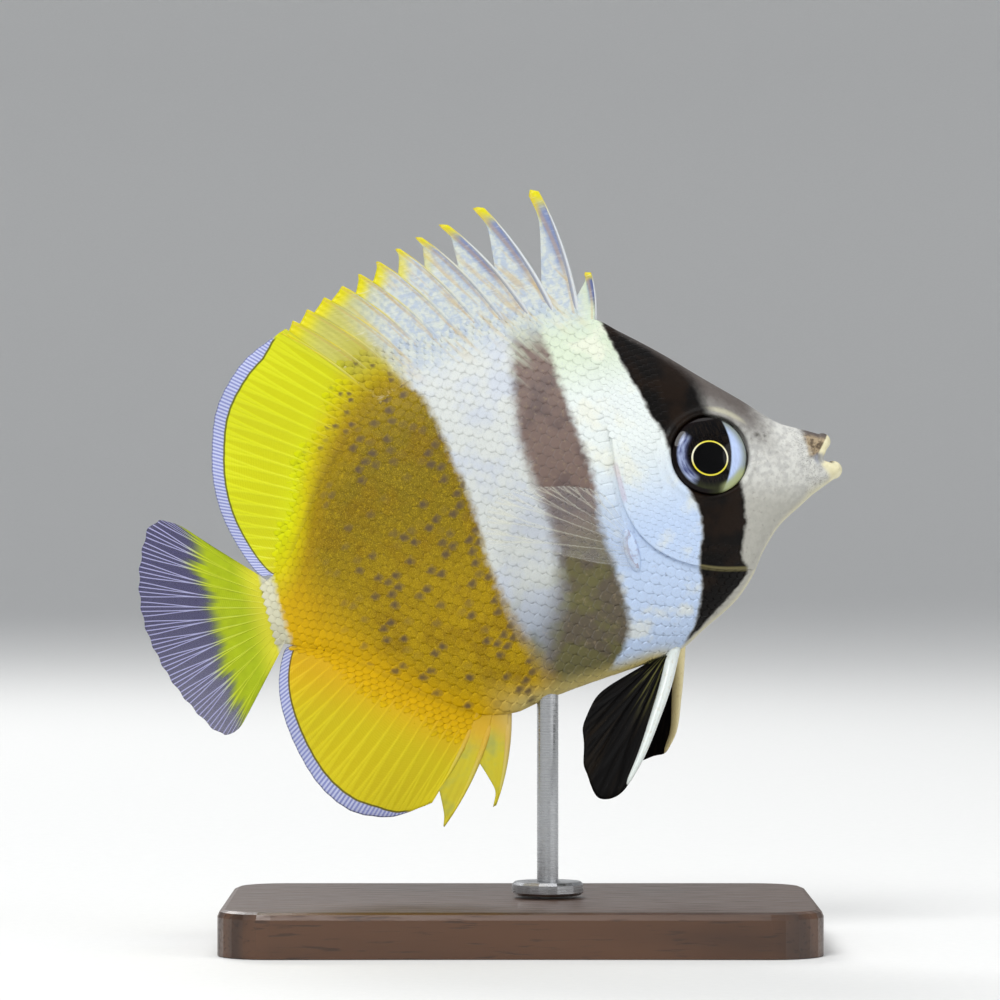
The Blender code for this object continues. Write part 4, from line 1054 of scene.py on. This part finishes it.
def membrane(name, bars, notches, up, pennant, look, node_name):
    """Closed thin sheets from each spine to the next as one mesh, with a pennant at each tip."""
    points, faces, own = [], [], []
    u, v = np.linspace(0, 1, PANEL_ACROSS)[None, :, None], np.linspace(0, 1, PANEL_ROWS)[:, None, None]
    for i, notch in enumerate(notches):
        first, after = bars[i][0][:, (0, 2)], bars[i + 1][0][:, (0, 2)]
        size = min(notch / 6.0, np.linalg.norm(first[-1] - first[0]) / 10.0, 1.0)
        steps = np.linalg.norm(after - after[-1], axis=1)
        after = even_line(after[steps > notch * 0.97], PANEL_ROWS)
        first = even_line(first, PANEL_ROWS)
        tip, low = first[-1], after[-1]
        lobe = tip + np.array([pennant, up * 0.25 * pennant]) * size
        edge = smooth_line([tip, lobe, lobe + (low - lobe) * 0.3 - (0.8 * size, 0),
                            lobe + (low - lobe) * 0.72 - (0.4 * size, 0), low], PANEL_ACROSS)
        flat = first[:, None] * (1 - u) + after[:, None] * u
        flat = flat + (edge[None] - (tip * (1 - u) + low * u)) * v ** 4
        values = np.concatenate(np.broadcast_arrays(i + u, v, 0 * u * v), -1)
        number, share = values[..., 0], values[..., 1]
        sag = 0.12 * np.sin(math.pi * (number % 1.0)) * share
        ripple = 0.05 * np.sin(number * 19.0 + share * 5.0) * share
        half = fin_half(np.linalg.norm(flat - flat[:1], axis=-1), FOOT_HALF)
        pair = [to_world(flat[..., 0], sag + ripple + k * half, flat[..., 1]) for k in (1, -1)]
        world = np.concatenate([side.reshape(-1, 3) for side in pair])
        faces.append(outward(world, slab_faces(PANEL_ROWS, PANEL_ACROSS)) + i * len(world))
        points.append(world)
        own += [values.reshape(-1, 3)] * 2
    own = np.concatenate(own)
    piece(name, np.concatenate(points), np.concatenate(faces), look, "yellow_fin", (node_name,),
          (own[:, 0] / (own[:, 0].max() + 0.01), own[:, 1]), panel=own)


spine_look = new_material("fin_spine", 0.35)
own = attribute("spine")
front, along, number = split(own)
yellow = fade(number, 2, 9) * fade(along, 0.1, 0.7) + fade(along, 0.78, 0.98) * fade(number, -1, 0)
low = fade(along, 0.85, 0.25, 0, 0.95) * fade(number, 1.5, 6)
fine = noise(stretched(own, (3, 30, 1)), 1, 2)
# Painted shade: each spine grey-blue on its trailing side and pale on its leading side
finish(paint((150, 156, 172), fade(front, -0.3, 0.3), (208, 213, 216),
             fade(number, 0, -1), (222, 230, 226), fade(number, -1, -2), (222, 208, 152),
             calc("MINIMUM", yellow, 1), (224, 206, 24), low, marked(fish_place())["Colour"],
             fade(fine, 0.5, 0.75, 0, 0.3) * fade(number, 7, 3), (176, 150, 96)),
       bump(fine, 0.2, 0.00005), (0.3, 0.2))

spiny_look = new_material("spiny_membrane", 0.42)
panel, along, _ = split(attribute("panel"))
place = fish_place()
s, y, t = axes_of(place)
behind = calc("FRACT", panel)
mottle = noise(place, 0.8, 5, 0.6)
pale = marked(place)["Colour"]
blue = fade(behind, 0.45, 0.15) * fade(along, 0.3, 0.6) * fade(panel, 4.8, 3.6, 0, 0.75)
reach = t * 0.55 + s
gold = paint((186, 182, 92), mottle, (202, 200, 104), fade(reach, 66.5, 72), (210, 208, 24))
rearward = fade(reach, 58.5, 68.5)
tip = larger(fade(panel, 3, 7), fade(behind, 0.45, 0.15)) * fade(along, 0.84, 0.97)
wrinkle = noise(stretched(place, (0.7, 1, 3.4)), 1, 4, 0.5)
finish(paint(pale, blue, (96, 112, 166), rearward, gold, fade(along, 0.6, 0.15), pale,
             tip, (222, 212, 16), fade(abs(behind - 0.16), 0.1, 0.02, 0, 0.35), (196, 158, 84),
             # Painted highlight: pale lines on the wrinkle crests over the pale front of the membrane
             fade(wrinkle, 0.54, 0.7, 0, 0.2) * fade(rearward, 1, 0.4), (232, 236, 234)),
       bump(mottle, 0.3, 0.00012, bump(wrinkle, 0.5, 0.00025)), FIN_COAT, Specular_IOR_Level=0.25)

notches = [NOTCH_UNDER_SECOND] + [NOTCH_FIRST * NOTCH_FALL ** i for i in range(len(DORSAL_TIPS) - 2)]
dorsal_bars = spine_bars(DORSAL_FEET, DORSAL_TIPS, DORSAL_SIZES, back, 1)
spines("dorsal_spines", dorsal_bars, "yellow_fin", "dorsal_fin_spiny")
membrane("dorsal_membrane", dorsal_bars, notches, 1, 1.2, spiny_look, "dorsal_fin_spiny")

# Soft dorsal fin: a rounded yellow fan of branched rays, scaled like the flank near its foot,
# with a finely barred pale blue margin between two dark lines.

SOFT_EDGE = [(55.9, 29.7), (60.7, 27.8), (63.7, 25.4), (65.8, 22.8), (67.1, 19.7), (68.1, 15.6),
             (68.2, 11.4), (67.3, 7.2), (65.9, 3.9), (64.6, 3.5)]
SPINY_EDGE = [(25.5, 33.0), (33.0, 33.5), (40.0, 33.0), (48.0, 31.5), (56.4, 29.4)]
SOFT_DORSAL_RAYS = 22
FAN_SAMPLES, FAN_ROWS = 16, 56


def outline_line(outline, start, end, sink):
    s = np.linspace(start, end, 80)
    return np.stack([s, outline(s) - sink], 1)


def yellow_fin_material(name, margin_width, none_at, full_at):
    """The flank's own colours, which turn yellow outwards, with painted highlight on the rays and a
    margin.
    """
    made = new_material(name, 0.4)
    ray, along, margin, ridge, place = fin_inputs()
    out = fade(along, 0.1, 0.45)
    width = fade(ray, none_at, full_at) * margin_width
    inside, shown = margin - width, fade(width, 0.05, 0.25)
    bars = waves(joined(ray, margin * 0.1), 1.2, "X", 0.8, 1)
    pale = paint((136, 142, 196), fade(bars, 0.25, 0.75), (192, 198, 228))
    dark = larger(fade(abs(inside - 0.1), 0.16, 0.06), fade(margin, 0.14, 0.08) * 0.5)
    joints = waves(joined(0, margin), 1.1, "Y")
    # Painted highlight: paler yellow along each ray's ridge; between the rays the membrane is darker and
    # more orange, partly its own tone and partly painted shade
    finish(paint(marked(place)["Colour"], ridge * 0.16 * out, (238, 226, 60),
                 (1 - fade(ridge, 0, 0.4)) * 0.2 * out, (170, 140, 4),
                 fade(inside, 0.03, -0.03) * shown, pale, dark * shown * 0.8, (30, 30, 22)),
           bump(noise(place, 5), 0.25, 0.00008, bump(joints, 0.12, 0.00006)), FIN_COAT,
           Specular_IOR_Level=0.25)
    return made


def scaled_fan(name, scales_name, node_name, look, root, edge, rays, reach):
    """A yellow fan of rays with small scales on its foot."""
    edge = smooth_line(edge, 90)
    fin_sheet(name, root, edge, rays, FAN_SAMPLES, FAN_ROWS, look, "yellow_fin", node_name)
    fin_coat(scales_name, root, edge, reach, (node_name,))


soft_look = yellow_fin_material("soft_dorsal", 1.35, 0.5, 3.5)
scaled_fan("soft_dorsal", "soft_dorsal_scales", "dorsal_fin_soft", soft_look,
           outline_line(back, 46.8, 64.2, SUNK), SOFT_EDGE, SOFT_DORSAL_RAYS,
           [(0, 6.0), (0.3, 5.0), (0.6, 3.5), (1.0, 1.5)])
fin_coat("spiny_dorsal_scales", outline_line(back, 23.2, 47.6, SUNK), smooth_line(SPINY_EDGE, 60),
         [(0, 1.5), (0.1, 3.0), (0.6, 4.0), (1.0, 8.0)], ("dorsal_fin_spiny",))

# Anal fin: three stout spines with notched membrane, then a yellow fan like the soft dorsal's. It
# hangs from the rear of the belly, with small scales on its foot.

ANAL_FEET = [42.6, 44.2, 46.0]
ANAL_TIPS = [(46.9, -28.0), (53.1, -28.8), (54.2, -25.9)]
ANAL_SIZES = [0.42, 0.4, 0.34]
ANAL_NOTCHES = [8.2, 1.8]
ANAL_EDGE = [(53.8, -25.9), (57.6, -26.3), (59.9, -25.9), (62.9, -24.3), (65.4, -20.9), (66.8, -16.5),
             (67.3, -11.8), (66.8, -8.2), (65.4, -5.2), (64.3, -4.8)]
ANAL_RAYS = 18

anal_look = yellow_fin_material("anal_fan", 1.3, 0.8, 5)
anal_bars = spine_bars(ANAL_FEET, ANAL_TIPS, ANAL_SIZES, belly, -1)
spines("anal_spines", anal_bars, "yellow_fin", "anal_fin", first_number=7)
anal_web = new_material("anal_web", 0.42)
place = fish_place()
mottle = noise(place, 0.45)
along = split(attribute("panel"))[1]
finish(paint((206, 184, 12), mottle, (212, 206, 24), fade(mottle, 0.45, 0.75, 0, 0.6), (150, 160, 90),
             fade(along, 0.5, 0.15), marked(place)["Colour"]),
       bump(mottle, 0.35, 0.0001), (0.2, 0.25))
membrane("anal_membrane", anal_bars, ANAL_NOTCHES, -1, 0.35, anal_web, "anal_fin")
scaled_fan("anal_fan", "anal_scales", "anal_fin", anal_look, outline_line(belly, 45.0, 63.9, -SUNK),
           ANAL_EDGE, ANAL_RAYS, [(0, 4.5), (0.5, 3.8), (1.0, 1.5)])

# Tail fin: a fan of branched rays, yellow-green at its foot and clear violet grey beyond a ragged
# line half way out.

CAUDAL_TOP = [(68.2, 6.1), (70.8, 9.0), (73.2, 11.6), (75.2, 12.7)]
CAUDAL_REAR = [(75.2, 12.7), (76.9, 11.7), (79.0, 7.0), (79.8, 2.0), (79.2, -2.6), (77.9, -6.7),
               (75.6, -11.2), (74.3, -12.6)]
CAUDAL_LOW = [(74.3, -12.6), (72.7, -12.4), (71.0, -10.8)]
CAUDAL_ROOT = (2.5, -3.9)
CAUDAL_RAYS = 17

tail_look = new_material("tail_fin", 0.38)
ray, along, margin, ridge, place = fin_inputs()
s, y, t = axes_of(place)
whole = node("TexWhiteNoise", {"W": calc("FLOOR", ray)}, noise_dimensions="1D")
clear = fade(ridge * -0.8 + (whole * 1.1 + s), 71.7, 73.7)
line = fade(ridge, 0.5, 1)
green = paint((150, 166, 10), noise(place, 0.9, 4), (176, 194, 12), fade(s, 69, 66), (220, 214, 50),
              fade(s, 66.2, 65.6), (204, 202, 184), line * 0.45, (216, 222, 60))
grey = paint((52, 46, 100), line, (176, 176, 212))
finish(paint(green, clear, grey), bump(waves(joined(0, margin), 1.3, "Y"), 0.15, 0.00006), FIN_COAT,
       Alpha=clear * (1 - line * 0.7) * -0.4 + 1, Specular_IOR_Level=0.25)
root_t = np.linspace(*CAUDAL_ROOT, 60)
caudal_root = np.stack([np.full(60, BODY_END - SUNK), root_t], 1)
caudal_edge = np.concatenate([smooth_line(CAUDAL_TOP, 12)[4:-1], smooth_line(CAUDAL_REAR, 90),
                              smooth_line(CAUDAL_LOW, 8)[1:]])
fin_sheet("tail_fan", caudal_root, caudal_edge, CAUDAL_RAYS, 30, 64, tail_look, "clear_fin",
          "caudal_fin", root_half=1.1, branch=0.2, notch=0.012, breadth=0.055)

# Breast fins: clear fans that lie back along the flanks and stand off them more and more. Each
# grows from a small fleshy foot behind the gill cover.

PECTORAL_ROOT = [(24.7, -2.1), (24.7, -4.2), (24.7, -6.4)]
PECTORAL_EDGE = [(25.6, 1.0), (27.0, 3.1), (30.8, 4.7), (36.4, 5.5), (38.9, 4.5), (39.9, 2.6),
                 (40.1, 0.5), (34.7, -1.7), (28.9, -4.7)]
PECTORAL_RAYS = 13
FLESH_S = 24.9
FLESH_ROWS, FLESH_SIDES = 14, 28


def pectoral_y(s, t):
    out = np.maximum(s - PECTORAL_ROOT[0][0], 0)
    _, foot = section(FLESH_S, turn_of(FLESH_S, t))
    return foot + 0.1 + 0.55 * ease(out / 2.5) + 0.2 * out - 0.004 * out * out


clear_look = new_material("breast_fin", 0.3)
ray, along, margin, ridge, place = fin_inputs()
line, foot = fade(ridge, 0.35, 0.95), fade(along, 0.1, 0.02)
finish(paint((196, 200, 206), line, (216, 214, 192), foot, (188, 184, 198)),
       bump(noise(place, 4), 0.2, 0.00006), (0.3, 0.15), Alpha=larger(line * 0.36, foot) * 0.5 + 0.06)
foot_look = new_material("fin_foot", 0.4)
place = fish_place()
spots = fade(noise(place, 1.1), 0.5, 0.6)
finish(paint(marked(place)["Colour"], spots * 0.35, (110, 92, 130)),
       bump(noise(place, 4), 0.3, 0.0001), (0.3, 0.2))
for hand, name in ((1, "left"), (-1, "right")):
    fin_sheet("breast_fin_" + name, smooth_line(PECTORAL_ROOT, 40), smooth_line(PECTORAL_EDGE, 90),
              PECTORAL_RAYS, 12, 44, clear_look, "clear_fin", "pectoral_fin_" + name,
              at_y=pectoral_y, root_half=0.3, branch=0.5, notch=0.01, mirror=hand)
    angle = np.linspace(0, math.pi, FLESH_ROWS)[:, None]
    spin = np.arange(FLESH_SIDES) * 2 * math.pi / FLESH_SIDES
    s = 25.0 + 0.8 * np.sin(angle) * np.cos(spin)
    t = -4.25 + 2.5 * np.cos(angle) + 0 * spin
    _, y = section(FLESH_S, turn_of(FLESH_S, t))
    y = hand * (y + 0.05 + 0.5 * np.sin(angle) * np.sin(spin))
    points = to_world(s, y, t).reshape(-1, 3)
    faces = outward(points, grid_faces(FLESH_ROWS, FLESH_SIDES, closed=True))
    u = np.tile(spin / (2 * math.pi), FLESH_ROWS)
    v = np.repeat(np.linspace(0, 1, FLESH_ROWS), FLESH_SIDES)
    piece("breast_fin_foot_" + name, points, faces, foot_look, "face_skin", ("pectoral_fin_" + name,),
          (u, v))

# Belly fins: black fans with a stout white leading spine that hang from the breast and splay. The
# left one, on the far side of the photo, is shorter and splayed further out.

PELVIC = {
    "right": ([(23.3, -17.4), (25.4, -20.4), (28.6, -25.2), (32.4, -29.6), (34.6, -30.6), (36.4, -28.6),
               (36.2, -25.4), (35.5, -22.4), (33.6, -19.6), (30.6, -18.1), (26.3, -17.5)], 0.36),
    "left": ([(22.7, -17.3), (23.6, -20.2), (25.0, -24.4), (26.2, -27.0), (28.2, -27.9), (30.6, -27.4),
              (31.8, -25.0), (31.8, -22.2), (30.4, -19.8), (28.4, -18.3), (25.7, -17.5)], 0.55),
}
PELVIC_RAYS = 6
PELVIC_ROOT_Y = 0.75

black_look = new_material("belly_fin", 0.4)
ray, along, margin, ridge, place = fin_inputs()
streak = noise(stretched(joined(ray, along), (3, 1.2, 1)), 1.4, 4)
foot = fade(along, 0.5, 0.05) * fade(streak, 0.5, 0.62, 0, 0.7)
finish(paint((6, 5, 5), fade(streak, 0.5, 0.75), (26, 20, 13), foot, (112, 110, 62)),
       bump(streak, 0.3, 0.0001), Specular_IOR_Level=0.03)
for hand, name in ((1, "left"), (-1, "right")):
    outline, splay = PELVIC[name]

    def pelvic_y(s, t):
        return PELVIC_ROOT_Y + splay * np.maximum(outline[0][1] - t, 0.0)

    root = even_line(np.array([outline[0], outline[-1]]) + (0.0, 0.7), 20)
    edge = smooth_line(outline, 90)
    fin_sheet("belly_fin_" + name, root, edge[30:], PELVIC_RAYS, 14, 48, black_look, "black_fin",
              "pelvic_fin_" + name, at_y=pelvic_y, root_half=0.5, branch=0.35, notch=0.03, mirror=hand)
    lead = even_line(edge[:36], 24)
    s, t = smooth_line([lead[0] + (-0.4, 1.5), *lead[[4, 10, 17, 23]]], 24).T
    path = np.stack([s + 0.15, hand * pelvic_y(s, t), t], 1)
    radii = 0.72 * (1 - np.linspace(0, 1, 24)) ** 0.45 + 0.06
    spines("belly_spine_" + name, [(path, radii)], "black_fin", "pelvic_fin_" + name,
           first_number=-1 if hand < 0 else -2)

# Floor, light and camera: a pale studio cove, soft lights above and in front, and the photo's own
# level view of the fish's right side.

COVE = [(0.0, 0.0), (1.2, 0.0), (1.8, 0.05), (2.2, 0.25), (2.4, 0.6), (2.45, 2.4)]
COVE_SIDES = 96
LIGHTS = [("key", (-0.3, -0.75, 0.8), 0.45, 7.0), ("fill", (0.85, -0.5, 0.3), 0.6, 2.0),
          ("back", (-0.3, 0.8, 0.7), 0.5, 4.5), ("top", (0.1, -0.05, 1.0), 0.6, 2.5)]
CAMERA_AWAY = 0.6
FRAME_WIDTH = 0.112

cove_look = new_material("pale_paper", 0.9)
paper = noise(node("TexCoord", {}, "Object"), 900)
finish(paint((226, 226, 224), paper, (232, 232, 230)), bump(paper, 0.05, 0.0001))
out, up = smooth_line(COVE, 40)[1:].T[:, :, None]
spin = np.arange(COVE_SIDES) * 2 * math.pi / COVE_SIDES
ring = np.stack(np.broadcast_arrays(out * np.cos(spin), out * np.sin(spin), up), -1).reshape(-1, 3)
points = np.concatenate([ring, [[0, 0, 0]]])
middle = [(len(points) - 1, i, (i + 1) % COVE_SIDES) for i in range(COVE_SIDES)]
cove = build("floor", points, grid_faces(len(out), COVE_SIDES, closed=True)[:, ::-1], cove_look, middle)
for name, at, size, power in LIGHTS:
    lamp = bpy.data.lights.new(name, "AREA")
    lamp.shape, lamp.size, lamp.energy = "DISK", size, power
    holder = bpy.data.objects.new(name, lamp)
    holder.location = at
    holder.rotation_euler = (Vector((0, 0, 0.045)) - Vector(at)).to_track_quat("-Z", "Y").to_euler()
    bpy.context.scene.collection.objects.link(holder)
world = bpy.data.worlds.new("studio")
world.use_nodes = True
world.node_tree.nodes["Background"].inputs["Color"].default_value = (0.9, 0.93, 1.0, 1.0)
world.node_tree.nodes["Background"].inputs["Strength"].default_value = 0.5
bpy.context.scene.world = world

lens = bpy.data.cameras.new("camera")
lens.lens = lens.sensor_width * CAMERA_AWAY / FRAME_WIDTH
lens.clip_start = 0.01
camera = bpy.data.objects.new("camera", lens)
camera.location = (-2.24 * MM, -CAMERA_AWAY, 49.5 * MM)
camera.rotation_euler = (math.radians(90), 0, 0)
bpy.context.scene.collection.objects.link(camera)
bpy.context.scene.camera = camera
bpy.context.scene.view_settings.view_transform = "Standard"
